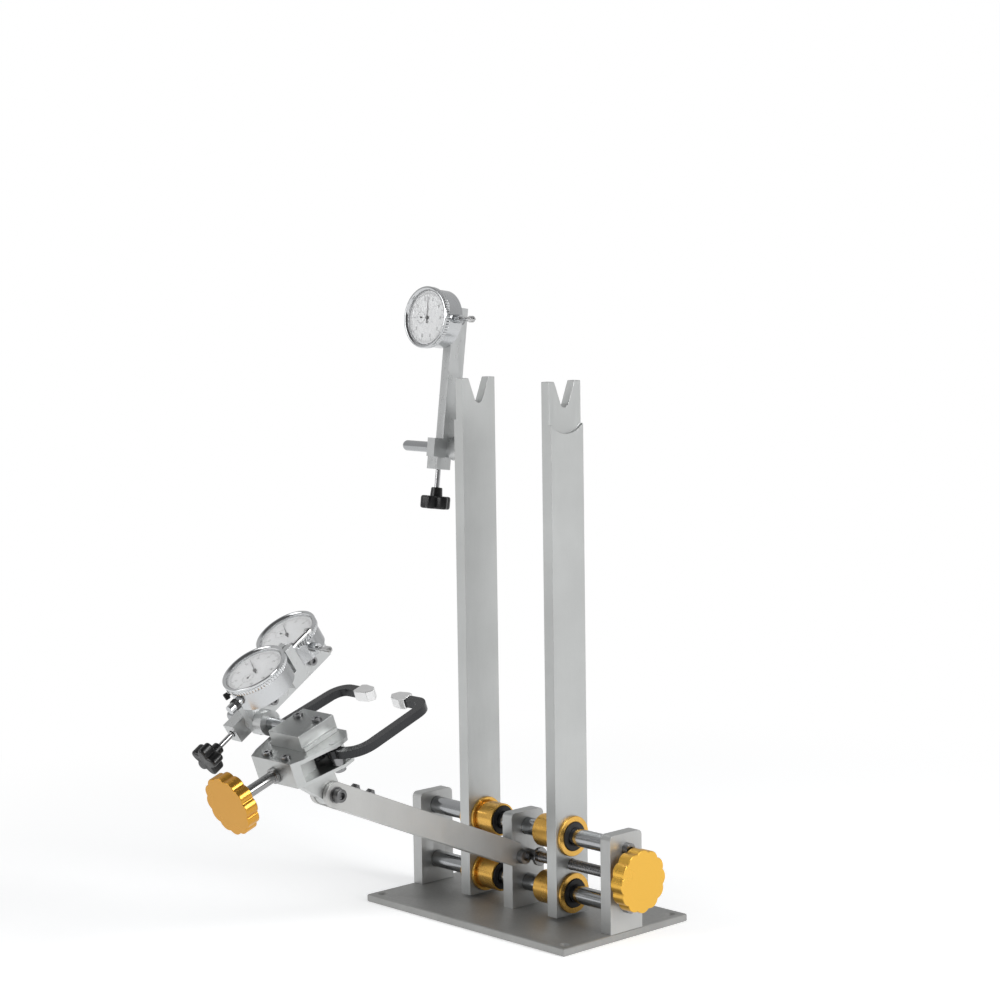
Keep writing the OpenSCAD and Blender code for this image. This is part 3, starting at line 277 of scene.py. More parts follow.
def bump(tree, height, distance, normal):
    """Bump of a given depth in metres, into a shader's normal."""
    node = tree.nodes.new("ShaderNodeBump")
    node.inputs["Strength"].default_value = 1.0
    node.inputs["Distance"].default_value = distance
    link(tree, height, node.inputs["Height"])
    link(tree, node.outputs["Normal"], normal)


def new_finish(name, metallic):
    """Empty material with its main shader."""
    finish = bpy.data.materials.new(name)
    finish.use_nodes = True
    shader = finish.node_tree.nodes["Principled BSDF"]
    shader.inputs["Metallic"].default_value = metallic
    place = finish.node_tree.nodes.new("ShaderNodeTexCoord")
    return finish, finish.node_tree, shader, place.outputs["Object"]


blasted_skin = make_blasted_group()


def anodised(name, colour, roughness, metallic=0.75, cloud=0.05, depth=0.00003):
    """Blasted and anodised aluminium in one colour."""
    finish, tree, shader, vector = new_finish(name, metallic)
    skin = place_group(tree, blasted_skin, {
        "Vector": vector, "Colour": colour, "Cloud": cloud, "Roughness": roughness})
    link(tree, skin.outputs["Colour"], shader.inputs["Base Color"])
    link(tree, skin.outputs["Roughness"], shader.inputs["Roughness"])
    bump(tree, skin.outputs["Height"], depth, shader.inputs["Normal"])
    return finish


def tone_by_facing(finish, axis, edge, top):
    """Finish whose colour is scaled from edge, on faces square to one axis, to top, on faces along it: a tone
    set by the direction each face points.
    """
    tree = finish.node_tree
    shader = tree.nodes["Principled BSDF"]
    colour = shader.inputs["Base Color"].links[0].from_socket
    facing = tree.nodes.new("ShaderNodeVectorMath")
    facing.operation = "DOT_PRODUCT"
    facing.inputs[1].default_value = axis
    link(tree, tree.nodes["Texture Coordinate"].outputs["Normal"], facing.inputs[0])
    link(tree, toned(tree, colour, spread(tree, facing.outputs["Value"], 0.3, 0.85, edge, top)),
         shader.inputs["Base Color"])
    return finish


SHARP_EDGE = math.radians(32)
FLAT_ENOUGH = math.radians(0.4)


def eased(node, body, finish, width, steps=2):
    """Copy of a machined solid with its flat faces joined and its sharp edges rounded by width."""
    loose = bmesh.new()
    loose.from_mesh(frame["nodes"][node].data)
    bmesh.ops.remove_doubles(loose, verts=loose.verts, dist=2e-6)
    bmesh.ops.dissolve_limit(loose, angle_limit=FLAT_ENOUGH, verts=loose.verts, edges=loose.edges)
    mesh = bpy.data.meshes.new(node + "_eased")
    loose.to_mesh(mesh)
    loose.free()
    mesh.materials.append(finish)
    mesh.shade_smooth()
    mesh.set_sharp_from_angle(angle=SHARP_EDGE)
    piece = bpy.data.objects.new(node + "_eased", mesh)
    bpy.context.collection.objects.link(piece)
    rounding = piece.modifiers.new("rounding", "BEVEL")
    rounding.width = width
    rounding.segments = steps
    rounding.limit_method = "ANGLE"
    rounding.angle_limit = SHARP_EDGE
    rounding.harden_normals = True
    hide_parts(node)
    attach(piece, body)
    return piece


# The plate's side faces are written 1.06 times lighter than its top, by the direction each face points.
plate_finish = tone_by_facing(anodised("blasted_plate", PLATE_COLOUR, 0.46, 0.6, 0.10, 0.00006),
                            (0, 0, 1), 1.06, 1.0)
bracket_finish = anodised("blasted_bracket", BRACKET_COLOUR, 0.40)
eased("base_plate", "base", plate_finish, 0.0003)
for side_name in ("left", "middle", "right"):
    eased("bracket_" + side_name, "base", bracket_finish, 0.0006)

# Guide rods: hardened and ground steel bar with the fine rings that grinding leaves.
# The cap screws that hold them, and the other fasteners, are darker machine steel.
ROD_COLOUR, BOLT_COLOUR = (0.41, 0.42, 0.43), (0.27, 0.27, 0.275)


def make_ground_group():
    """Ground or drawn metal: close lines square to a long axis given by a stretch of the coordinates."""
    group, start, end = effect_group("ground_lines", [
        ("Vector", "NodeSocketVector", (0, 0, 0)), ("Stretch", "NodeSocketVector", (1, 0.02, 0.02)),
        ("Colour", "NodeSocketColor", (1, 1, 1, 1)), ("Tone", "NodeSocketFloat", 0.06),
        ("Roughness", "NodeSocketFloat", 0.2)],
        [("Colour", "NodeSocketColor"), ("Roughness", "NodeSocketFloat"), ("Height", "NodeSocketFloat")])
    stretch = group.nodes.new("ShaderNodeVectorMath")
    stretch.operation = "MULTIPLY"
    link(group, start.outputs["Vector"], stretch.inputs[0])
    link(group, start.outputs["Stretch"], stretch.inputs[1])
    lines = noise(group, stretch.outputs[0], 2600, 3.0, 0.65)
    smears = noise(group, start.outputs["Vector"], 55, 3.0)
    low = math_node(group, "SUBTRACT", 1.0, start.outputs["Tone"])
    high = math_node(group, "ADD", 1.0, start.outputs["Tone"])
    tone = spread(group, lines, 0.3, 0.7, low, high)
    link(group, toned(group, start.outputs["Colour"], tone), end.inputs["Colour"])
    worn = spread(group, smears, 0.35, 0.7, -0.04, 0.06)
    link(group, math_node(group, "ADD", start.outputs["Roughness"], worn), end.inputs["Roughness"])
    link(group, lines, end.inputs["Height"])
    return group


ground_lines = make_ground_group()


def ground(name, colour, roughness, stretch, metallic=1.0, tone=0.06, depth=0.00001):
    """Metal with grinding or drawing lines along one direction."""
    finish, tree, shader, vector = new_finish(name, metallic)
    skin = place_group(tree, ground_lines, {
        "Vector": vector, "Stretch": stretch, "Colour": colour, "Tone": tone, "Roughness": roughness})
    link(tree, skin.outputs["Colour"], shader.inputs["Base Color"])
    link(tree, skin.outputs["Roughness"], shader.inputs["Roughness"])
    bump(tree, skin.outputs["Height"], depth, shader.inputs["Normal"])
    return finish


rod_finish = ground("ground_rod", ROD_COLOUR, 0.16, (1, 0.02, 0.02))
bolt_finish = ground("machine_steel", BOLT_COLOUR, 0.30, (1, 1, 1), tone=0.12)
eased("guide_rods", "base", rod_finish, 0.0006)
eased("rod_end_screws", "base", bolt_finish, 0.0004)
eased("bracket_screws", "base", bolt_finish, 0.0002)
eased("arm_pivot_bolt", "base", bolt_finish, 0.0004)

# Spreading screw: a steel spindle with opposite two-start trapezoid threads on its halves.
# Two collars stop the uprights, and plain journals run in the end brackets.
THREAD_LEAD = 0.004
THREAD_DEPTH = 0.0006
THREAD_FLAT, THREAD_FLANK = 0.17, 0.13
SHAFT_RADIUS = 0.005
COLLAR_HEIGHTS = (0.0200, 0.0200, 0.0203, 0.0227, 0.0230, 0.0230)
COLLAR_RADII = (0.0050, 0.0082, 0.0085, 0.0085, 0.0082, 0.0050)
SPINDLE_COLOUR = (0.27, 0.27, 0.275)


def ring_faces(grid):
    """Numbers of a grid's points, and the four-sided faces between its rows, which are closed rings."""
    rows, columns = grid.shape[:2]
    index = np.arange(rows * columns).reshape(rows, columns)
    after = np.roll(index, -1, axis=1)
    quads = np.stack([index[:-1], after[:-1], after[1:], index[1:]], axis=-1).reshape(-1, 4)
    return index, quads.tolist()


def surface_mesh(name, grid, cap=True):
    """Mesh over a grid of points (rows, columns, 3) whose rows are rings; cap fills the first and the last."""
    index, faces = ring_faces(grid)
    if cap:
        faces += [index[0, ::-1].tolist(), index[-1].tolist()]
    mesh = bpy.data.meshes.new(name)
    mesh.from_pydata(grid.reshape(-1, 3).tolist(), [], faces)
    turned = bmesh.new()
    turned.from_mesh(mesh)
    bmesh.ops.remove_doubles(turned, verts=turned.verts, dist=1e-7)
    bmesh.ops.recalc_face_normals(turned, faces=turned.faces)
    turned.to_mesh(mesh)
    turned.free()
    return mesh


def finished_piece(name, mesh, finish, body, replaced=(), smooth=32):
    """Object for a mesh, smooth up to an angle, riding on a body and standing in for CAD nodes."""
    mesh.materials.append(finish)
    mesh.shade_smooth()
    mesh.set_sharp_from_angle(angle=math.radians(smooth))
    piece = bpy.data.objects.new(name, mesh)
    bpy.context.collection.objects.link(piece)
    if replaced:
        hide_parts(*replaced)
    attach(piece, body)
    return piece


def axes_matrix(origin, x, z):
    """Matrix of a local frame from its origin and its X and Z directions."""
    x, z = Vector(x).normalized(), Vector(z).normalized()
    y = z.cross(x)
    return Matrix.Translation(origin) @ Matrix((x, y, z)).transposed().to_4x4()


def in_frame(matrix, points):
    """Points of any array shape (..., 3) taken from a local frame to the object's."""
    matrix = np.array(matrix)
    return points @ matrix[:3, :3].T + matrix[:3, 3]


def turned_grid(profile, segments=96):
    """A profile of (height, radius) pairs turned about the local Z axis."""
    profile = np.array(profile, float)
    angle = np.linspace(0, 2 * math.pi, segments, endpoint=False)
    ring = np.stack([np.cos(angle), np.sin(angle), np.zeros_like(angle)], axis=-1)
    grid = ring[None] * profile[:, 1, None, None]
    grid[:, :, 2] = profile[:, 0, None]
    return grid


def threaded_grid(profile, thread, lead, depth, segments=40):
    """A turned profile whose radius also dips by depth along two helices of one lead between two heights."""
    grid = turned_grid(profile, segments)
    height = grid[:, :, 2]
    angle = np.arctan2(grid[:, :, 1], grid[:, :, 0])
    phase = np.mod(2 * (height / lead - angle / (2 * math.pi)), 1.0)
    flank = np.clip((np.abs(phase - 0.5) - THREAD_FLAT) / THREAD_FLANK, 0, 1)
    inside = (height > thread[0]) & (height < thread[1])
    radius = np.hypot(grid[:, :, 0], grid[:, :, 1])
    shrink = np.where(inside, 1 - depth * (1 - flank) / np.maximum(radius, 1e-6), 1)
    grid[:, :, :2] *= shrink[:, :, None]
    return grid


low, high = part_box("lead_screw")
along_rods = axes_matrix((0, 0, 0.055), (0, 1, 0), (1, 0, 0))


def spindle_half(sign):
    """Heights and radii of one half of the spindle, from its middle outwards."""
    heights = np.concatenate([[0, 0.0199], COLLAR_HEIGHTS, np.arange(0.0232, 0.1165, 0.00025),
                              [0.1168, 0.1177, 0.1177]])
    radii = np.full(len(heights), SHAFT_RADIUS)
    radii[2:8] = COLLAR_RADII
    radii[-2:] = 0.0046, 0.004
    return np.stack([sign * heights, radii], axis=-1)


right_half = spindle_half(1)
left_half = spindle_half(-1)
right_end = np.array([[high.x - 0.0005, 0.004], [high.x, 0.0035]])
left_end = np.array([[low.x + 0.0005, 0.004], [low.x, 0.0035]])
spindle_finish = ground("rolled_spindle", SPINDLE_COLOUR, 0.26, (1, 0.05, 0.05), tone=0.2)
for side_name, half, tip, lead in (("right", right_half, right_end, THREAD_LEAD),
                                   ("left", left_half, left_end, -THREAD_LEAD)):
    span = (0.024, 0.1160) if side_name == "right" else (-0.1160, -0.024)
    grid = threaded_grid(np.concatenate([half, tip]), span, lead, THREAD_DEPTH)
    finished_piece("spindle_" + side_name, surface_mesh("spindle_" + side_name, in_frame(along_rods, grid)),
                   spindle_finish, "spread_screw", ("lead_screw",), 40)

# Knobs: lobed discs turned and milled from aluminium, then anodised gold.
# The faces keep faint turning rings, and every lobe has a small rounded edge.
GOLD = (0.80, 0.46, 0.075)


def make_rings_group():
    """Turned face: close rings about the local Z axis in tone and height."""
    group, start, end = effect_group("turning_rings", [
        ("Vector", "NodeSocketVector", (0, 0, 0)), ("Colour", "NodeSocketColor", (1, 1, 1, 1)),
        ("Tone", "NodeSocketFloat", 0.06), ("Roughness", "NodeSocketFloat", 0.3)],
        [("Colour", "NodeSocketColor"), ("Roughness", "NodeSocketFloat"), ("Height", "NodeSocketFloat")])
    flat = group.nodes.new("ShaderNodeVectorMath")
    flat.operation = "MULTIPLY"
    flat.inputs[1].default_value = (1, 1, 0)
    link(group, start.outputs["Vector"], flat.inputs[0])
    radius = group.nodes.new("ShaderNodeVectorMath")
    radius.operation = "LENGTH"
    link(group, flat.outputs[0], radius.inputs[0])
    spun = group.nodes.new("ShaderNodeCombineXYZ")
    link(group, radius.outputs["Value"], spun.inputs[0])
    rings = noise(group, spun.outputs[0], 2400, 2.0, 0.6)
    cloud = noise(group, start.outputs["Vector"], 26, 1.0)
    low = math_node(group, "SUBTRACT", 1.0, start.outputs["Tone"])
    high = math_node(group, "ADD", 1.0, start.outputs["Tone"])
    tone = spread(group, math_node(group, "ADD", math_node(group, "MULTIPLY", rings, 0.85),
                                   math_node(group, "MULTIPLY", cloud, 0.15)), 0.35, 0.65, low, high)
    link(group, toned(group, start.outputs["Colour"], tone), end.inputs["Colour"])
    worn = spread(group, cloud, 0.35, 0.7, -0.04, 0.05)
    link(group, math_node(group, "ADD", start.outputs["Roughness"], worn), end.inputs["Roughness"])
    link(group, rings, end.inputs["Height"])
    return group


turning_rings = make_rings_group()


def turned_finish(name, colour, roughness, matrix, metallic=0.9, tone=0.06, depth=0.00001):
    """Turned metal with rings about the Z axis of a local frame."""
    finish, tree, shader, vector = new_finish(name, metallic)
    centre = tree.nodes.new("ShaderNodeMapping")
    centre.vector_type = "POINT"
    back = matrix.inverted()
    centre.inputs["Location"].default_value = back.translation
    centre.inputs["Rotation"].default_value = back.to_euler()
    link(tree, vector, centre.inputs["Vector"])
    skin = place_group(tree, turning_rings, {
        "Vector": centre.outputs[0], "Colour": colour, "Tone": tone, "Roughness": roughness})
    link(tree, skin.outputs["Colour"], shader.inputs["Base Color"])
    link(tree, skin.outputs["Roughness"], shader.inputs["Roughness"])
    bump(tree, skin.outputs["Height"], depth, shader.inputs["Normal"])
    return finish


joints = {joint["name"]: joint for joint in frame["record"]["behaviour"]["joints"]}
spread_gold = turned_finish("gold_spreading_knob", GOLD, 0.30, along_rods)
eased("spread_knob", "spread_screw", spread_gold, 0.0010, 3)
caliper_axis = Vector(joints["caliper_turn"]["axis"])
along_caliper = axes_matrix(joints["caliper_turn"]["pos_m"], (1, 0, 0), caliper_axis)
# The caliper knob is the spreading knob's gold, written darker as painted shade on its face.
caliper_gold_painted_shade = turned_finish("gold_caliper_knob_painted_shade", (0.60, 0.30, 0.045), 0.28, along_caliper)
eased("caliper_knob", "caliper_drive", caliper_gold_painted_shade, 0.0010, 3)
caliper_steel = ground("caliper_spindle", (0.30, 0.30, 0.30), 0.22, (0.05, 1, 0.3))
eased("caliper_screw", "caliper_drive", caliper_steel, 0.0004)

# Uprights: two tall flat bars with an axle notch and a milled relief, in silver anodised aluminium.
# Gold flanged housings with lock rings carry black sealed bearings on the rods.
UPRIGHT_COLOUR = (0.50, 0.51, 0.505)
upright_finish = anodised("blasted_upright", UPRIGHT_COLOUR, 0.38)
housing_gold = ground("gold_housing", (0.76, 0.44, 0.10), 0.27, (1, 0.05, 0.05), 0.9)
seal_rubber = anodised("seal_rubber", (0.012, 0.012, 0.013), 0.5, 0.0)
for side_name in ("left", "right"):
    eased("upright_" + side_name, side_name + "_upright", upright_finish, 0.0006)
    eased("bushings_" + side_name, side_name + "_upright", housing_gold, 0.0006)
    eased("bearings_" + side_name, side_name + "_upright", seal_rubber, 0.0005)

# Caliper arm: two flat bars with a spacer between them, held by button screws.
# The bars and the spacer are steel with a fine matt skin.
ARM_COLOUR = (0.50, 0.50, 0.49)
arm_finish = anodised("blasted_arm", ARM_COLOUR, 0.38)
for node in ("arm_bar_near", "arm_bar_far", "arm_spacer"):
    eased(node, "arm", arm_finish, 0.0005)
eased("arm_spacer_screws", "arm", bolt_finish, 0.0003)

# Bolt between the arm and the head: a low socket head on a plain washer, drawn alike at both ends.
# It is blackened steel, turned, with a chamfer on each edge.
washer_low, washer_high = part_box("head_pivot_bolt")
pivot_axis = axes_matrix(joints["head_tilt"]["pos_m"], (0, 1, 0), (1, 0, 0))
pivot_steel = ground("blackened_pivot", (0.17, 0.17, 0.172), 0.30, (1, 1, 1), tone=0.12)


def bolt_half(end):
    """Heights and radii of the part outside one bar: a washer, then a head with chamfers and a round pit."""
    face = end - math.copysign(0.0075, end)
    washer = [(0.0, 0.0), (0.0, 6.8), (0.2, 7.0), (1.3, 7.0), (1.5, 6.8)]
    barrel = [(1.5, 5.7), (1.6, 5.8), (6.9, 5.8), (7.3, 5.5), (7.5, 5.1)]
    pit = [(7.5, 3.2), (7.3, 3.1), (4.9, 3.1), (4.9, 0.0)]
    steps = np.array(washer + barrel + pit) / 1000
    return np.stack([face + math.copysign(1.0, end) * steps[:, 0], steps[:, 1]], axis=-1)


for side_name, end in (("near", washer_high.x), ("far", washer_low.x)):
    stub = in_frame(pivot_axis, turned_grid(bolt_half(end), 72))
    finished_piece("head_pivot_" + side_name, surface_mesh("head_pivot_" + side_name, stub, cap=False),
                   pivot_steel, "arm", ("head_pivot_bolt",), 30)

# Caliper head: milled body, top block and two forks, clear anodised.
# The upper faces are painted darker (0.62) and the sides lighter (1.1) than the colour, as painted shade and
# light by the direction each face points.
HEAD_COLOUR = (0.47, 0.48, 0.475)
HEAD_SLOPE = math.radians(20)
head_up = (0, -math.sin(HEAD_SLOPE), math.cos(HEAD_SLOPE))
head_finish = tone_by_facing(anodised("blasted_head", HEAD_COLOUR, 0.33, 0.9), head_up, 1.1, 0.62)
for node in ("head_body", "head_top_block", "fork_near", "fork_far"):
    eased(node, "head", head_finish, 0.0005)
eased("head_screws", "head", bolt_finish, 0.0003)
eased("finger_pivots", "head", bolt_finish, 0.0003)
eased("gauge_post", "head", rod_finish, 0.0003)
traveller_finish = ground("blackened_traveller", (0.06, 0.06, 0.06), 0.35, (0.1, 1, 1))
eased("caliper_traveller", "traveller", traveller_finish, 0.0003)

# Fingers: each is bent from one flat steel bar and blackened.
# A bright spade tip sits on its end.
finger_finish = anodised("dark_finger", (0.030, 0.031, 0.033), 0.28, 0.6, 0.15)
tip_finish = ground("bright_tip", (0.80, 0.80, 0.80), 0.32, (1, 1, 1), tone=0.10, depth=0.00002)
for side_name in ("near", "far"):
    eased("finger_" + side_name, side_name + "_finger", finger_finish, 0.0008)
    eased("finger_" + side_name + "_tip", side_name + "_finger", tip_finish, 0.0006)

# Gauge carriers: clamp block, rail and bracket in silver anodised aluminium.
# Each is held by a screw with a bright shank and a black star moulded on its head.
rail_finish = anodised("blasted_rail", (0.54, 0.55, 0.55), 0.32)
star_finish = anodised("black_moulding", (0.004, 0.004, 0.0045), 0.30, 0.0)
shank_finish = ground("bright_shank", (0.52, 0.52, 0.53), 0.20, (1, 1, 1), tone=0.10)
STAR_REACH, STAR_NECK, STAR_THICK = 0.037, 0.008, 0.012


def star_grid(low, high, steps=160):
    """Five-lobed star: the radius is a wave with five crests, carried up an axis, with a round at each end."""
    angle = np.linspace(0, 2 * math.pi, steps, endpoint=False)
    wave = 0.5 + 0.5 * np.cos(5 * angle)
    outline = 0.0093 + 0.0051 * wave ** 0.75
    turn = np.linspace(0, math.pi / 2, 7)
    ease = 0.0022
    heights = np.concatenate([[low, low], low + ease * (1 - np.cos(turn)),
                              high - ease * (1 - np.cos(turn[::-1])), [high - 0.0004, high - 0.0004]])
    inset = np.concatenate([[0, 0], ease * (1 - np.sin(turn)), ease * (1 - np.sin(turn[::-1])), [0, 0]])
    radius = outline[None] - inset[:, None]
    radius[0], radius[1], radius[-2], radius[-1] = 0.0, 0.0052, 0.0062, 0.0
    ring = np.stack([np.cos(angle), np.sin(angle)], axis=-1)
    grid = np.empty((len(heights), steps, 3))
    grid[:, :, :2] = ring[None] * radius[:, :, None]
    grid[:, :, 2] = heights[:, None]
    return grid


def shank_profile(tip):
    """Heights and radii of the bright screw, from its tip to the moulded neck, with a chamfer at the tip."""
    chamfer = tip + 0.0005
    return np.array([(tip, 0.0), (tip, 0.0019), (chamfer, 0.0024), (STAR_REACH, 0.0024), (STAR_REACH, 0.0)])


for side_name in ("rim", "side"):
    eased(side_name + "_clamp", side_name + "_carrier", rail_finish, 0.0005)
    screw = joints[side_name + "_thumb_turn"]
    outwards = -Vector(screw["axis"])
    middle = Vector(joints[side_name + "_arm_turn"]["pos_m"])
    middle = Vector((screw["pos_m"][0], middle.y, middle.z))
    along_screw = axes_matrix(middle, (1, 0, 0), outwards)
    neck = np.array([(STAR_REACH, 0.0), (STAR_REACH, 0.0046), (STAR_REACH + 0.0006, 0.0052),
                     (STAR_REACH + STAR_NECK, 0.0058), (STAR_REACH + STAR_NECK, 0.0)])
    end = STAR_REACH + STAR_NECK
    for label, grid, finish, slot in (
            ("star", star_grid(end, end + STAR_THICK), star_finish, "black_plastic"),
            ("neck", turned_grid(neck, 48), star_finish, "black_plastic"),
            ("shank", turned_grid(shank_profile(0.0053), 48), shank_finish, "screw_steel")):
        name = side_name + "_thumb_" + label
        finished_piece(name, surface_mesh(name, in_frame(along_screw, grid), cap=False), finish,
                       side_name + "_thumb", (side_name + "_thumb_screw",), 34)
    eased(side_name + "_rail", side_name + "_arm", rail_finish, 0.0005)
eased("radial_bracket", "rim_arm", rail_finish, 0.0005)
eased("rim_rail_screws", "rim_arm", bolt_finish, 0.0003)
eased("side_rail_screw", "side_arm", bolt_finish, 0.0003)
eased("side_post", "left_upright", rod_finish, 0.0003)

# Dial gauges: a satin chromed case with stem and cap, a fluted bezel that turns with the printed dial,
# a counter dial, a black needle under a domed crystal, and a knurled screw that clamps the bezel.
# The dials are silver-white, with a hundred divisions and numbers at every tenth.
DIAL_FACE = -0.0044
NEEDLE_REST = {"radial": 59, "lateral": 147, "side": 92}
NEEDLE_LONG, NEEDLE_TAIL = 0.0196, 0.0052
LONG_TICK, MIDDLE_TICK, SHORT_TICK, TICK_END = (0.0196, 0.00034), (0.0204, 0.00022), (0.0213, 0.00016), 0.0232
COUNTER_X = -0.0090
CLAMP_TURN, CLAMP_REACH, CLAMP_DEPTH = 158, 0.0262, -0.0088
STEM_DEPTH = -0.0135


def gauge_frame(gauge):
    """Frame of one gauge: origin on the bezel's front, Z out of the dial, X along the plunger."""
    needle, probe = joints[gauge + "_needle_turn"], joints[gauge + "_probe_slide"]
    return axes_matrix(needle["pos_m"], -Vector(probe["axis"]), needle["axis"])


def loop_mesh(name, grid):
    """Mesh over a grid that closes both ways, such as a ring with a closed section."""
    return surface_mesh(name, np.concatenate([grid, grid[:1]]), cap=False)


def fluted(grid, low, high, count, depth):
    """Turned grid whose radius dips by depth in count round flutes between two heights."""
    angle = np.arctan2(grid[:, :, 1], grid[:, :, 0])
    radius = np.maximum(np.hypot(grid[:, :, 0], grid[:, :, 1]), 1e-9)
    band = (grid[:, :, 2] > low) & (grid[:, :, 2] < high)
    dip = np.where(band, depth * (1 - np.abs(np.sin(angle * count / 2))), 0)
    grid[:, :, :2] *= (1 - dip / radius)[:, :, None]
    return grid


BOX_SIDES = np.array([[3, 2, 1, 0], [4, 5, 6, 7], [0, 1, 5, 4], [1, 2, 6, 5], [2, 3, 7, 6], [3, 0, 4, 7]])


def flat_marks(boxes, low, high):
    """Thin printed bars: each (angle, inner radius, outer radius, width) becomes one box on the dial."""
    corner = np.array([[0, -1, 0], [1, -1, 0], [1, 1, 0], [0, 1, 0],
                       [0, -1, 1], [1, -1, 1], [1, 1, 1], [0, 1, 1]], float)
    angle, inner, outer, width = (np.array(boxes, float).T[i][:, None] for i in range(4))
    x = inner + (outer - inner) * corner[:, 0]
    y = corner[:, 1] * width / 2
    z = np.broadcast_to(low + (high - low) * corner[:, 2], x.shape)
    cosine, sine = np.cos(angle), np.sin(angle)
    points = np.stack([x * cosine - y * sine, x * sine + y * cosine, z], axis=-1)
    faces = BOX_SIDES[None] + 8 * np.arange(len(boxes))[:, None, None]
    return points.reshape(-1, 3), faces.reshape(-1, 4)


def numeral(text, size, centre, height):
    """Points and faces of a printed number, upright where the dial's top is at local -X."""
    curve = bpy.data.curves.new("numeral", "FONT")
    curve.body = text
    curve.size = size
    curve.align_x = "CENTER"
    curve.align_y = "CENTER"
    curve.resolution_u = 3
    holder = bpy.data.objects.new("numeral", curve)
    bpy.context.collection.objects.link(holder)
    shape = holder.evaluated_get(bpy.context.evaluated_depsgraph_get()).to_mesh()
    points = np.array([vertex.co for vertex in shape.vertices], float).reshape(-1, 3)
    faces = [list(face.vertices) for face in shape.polygons]
    holder.to_mesh_clear()
    bpy.data.objects.remove(holder)
    placed = np.stack([centre[0] - points[:, 1], centre[1] + points[:, 0],
                       np.full(len(points), height)], axis=-1)
    return placed, faces


def joined(name, parts, matrix):
    """One mesh from several lists of points and faces, taken into the object's frame."""
    points, faces, count = [], [], 0
    for some, sides in parts:
        points.append(some)
        faces += [[int(index) + count for index in side] for side in sides]
        count += len(some)
    mesh = bpy.data.meshes.new(name)
    mesh.from_pydata(in_frame(matrix, np.concatenate(points)).tolist(), [], faces)
    solid = bmesh.new()
    solid.from_mesh(mesh)
    bmesh.ops.remove_doubles(solid, verts=solid.verts, dist=1e-8)
    bmesh.ops.recalc_face_normals(solid, faces=solid.faces)
    solid.to_mesh(mesh)
    solid.free()
    return mesh


def clear_crystal():
    """Clear acrylic that lets light through to the dial without casting a shadow."""
    finish, tree, shader, vector = new_finish("clear_crystal", 0.0)
    shader.inputs["Base Color"].default_value = (1, 1, 1, 1)
    shader.inputs["Roughness"].default_value = 0.02
    shader.inputs["IOR"].default_value = 1.45
    shader.inputs["Transmission Weight"].default_value = 1.0
    smears = noise(tree, vector, 40, 3.0)
    link(tree, spread(tree, smears, 0.4, 0.7, 0.01, 0.05), shader.inputs["Roughness"])
    path = tree.nodes.new("ShaderNodeLightPath")
    clear = tree.nodes.new("ShaderNodeBsdfTransparent")
    mix = tree.nodes.new("ShaderNodeMixShader")
    link(tree, path.outputs["Is Shadow Ray"], mix.inputs[0])
    link(tree, shader.outputs[0], mix.inputs[1])
    link(tree, clear.outputs[0], mix.inputs[2])
    link(tree, mix.outputs[0], tree.nodes["Material Output"].inputs["Surface"])
    return finish


def dial_prints(name, matrix):
    """Ticks of the main and the counter dial, the counter's ring and the numbers, as thin ink."""
    low, high = DIAL_FACE + 0.00001, DIAL_FACE + 0.00004
    ticks = []
    for k in range(100):
        inner, width = LONG_TICK if k % 10 == 0 else MIDDLE_TICK if k % 5 == 0 else SHORT_TICK
        ticks.append((k * math.pi / 50, inner, TICK_END, width))
    parts = [flat_marks(ticks, low, high)]
    small, faces = flat_marks([(k * math.pi / 5, 0.0041, 0.0050, 0.0002) for k in range(10)], low, high)
    parts.append((small + np.array([COUNTER_X, 0, 0]), faces))
    arcs, faces = flat_marks([(k * math.pi / 30, 0.0052, 0.00535, 0.0006) for k in range(60)], low, high)
    parts.append((arcs + np.array([COUNTER_X, 0, 0]), faces))
    for k in range(10):
        turn = math.pi - k * math.pi / 5
        parts.append(numeral(str(10 * k), 0.0031, (0.0174 * math.cos(turn), 0.0174 * math.sin(turn)), high))
    return joined(name, parts, matrix)


def pointer_parts(turn):
    """Slender tapered needle with a short tail, and its domed hub, at an angle from the plunger's line."""
    outline = [(-NEEDLE_TAIL, 0.0007), (-0.0012, 0.0004), (NEEDLE_LONG, 0.00012)]
    flat = outline + [(x, -y) for x, y in outline[::-1]]
    cosine, sine = math.cos(math.radians(turn)), math.sin(math.radians(turn))
    low, high = DIAL_FACE + 0.0008, DIAL_FACE + 0.0011
    points = np.array([(x * cosine - y * sine, x * sine + y * cosine, z) for z in (low, high) for x, y in flat])
    count = len(flat)
    sides = [list(range(count)), list(range(2 * count - 1, count - 1, -1))]
    sides += [[i, i + count, (i + 1) % count + count, (i + 1) % count] for i in range(count)]
    bead = [(low - DIAL_FACE, 0.0), (0.0003, 0.0016), (0.0012, 0.0016), (0.0016, 0.0012), (0.0018, 0.0)]
    dome = turned_grid(bead, 32)
    dome[:, :, 2] += DIAL_FACE
    return [(points, sides), (dome.reshape(-1, 3), ring_faces(dome)[1])]


bezel_loop = np.array([
    (-6.7, 23.0), (-6.7, 27.5), (-6.5, 28.0), (-6.3, 28.3), (-6.1, 28.4), (-2.9, 28.4), (-2.7, 28.2),
    (-2.5, 27.9), (-2.2, 27.9), (-2.0, 28.2), (-1.8, 28.5), (-0.9, 28.5), (-0.4, 28.3), (-0.1, 27.8),
    (0.0, 27.1), (-0.1, 26.6), (-0.4, 26.1), (-1.3, 25.4), (-1.9, 25.0), (-5.2, 25.0), (-5.2, 23.0)]) / 1000
rise = np.linspace(0, 1, 14)
crystal_top = np.stack([-0.0005 - 0.0012 * rise ** 2, 0.0249 * rise], axis=-1)
crystal_profile = np.concatenate([crystal_top, (crystal_top - np.array([0.0009, 0]))[::-1]])
case_finish = ground("satin_case", (0.56, 0.57, 0.58), 0.24, (1, 1, 1), tone=0.02, depth=0.000003)
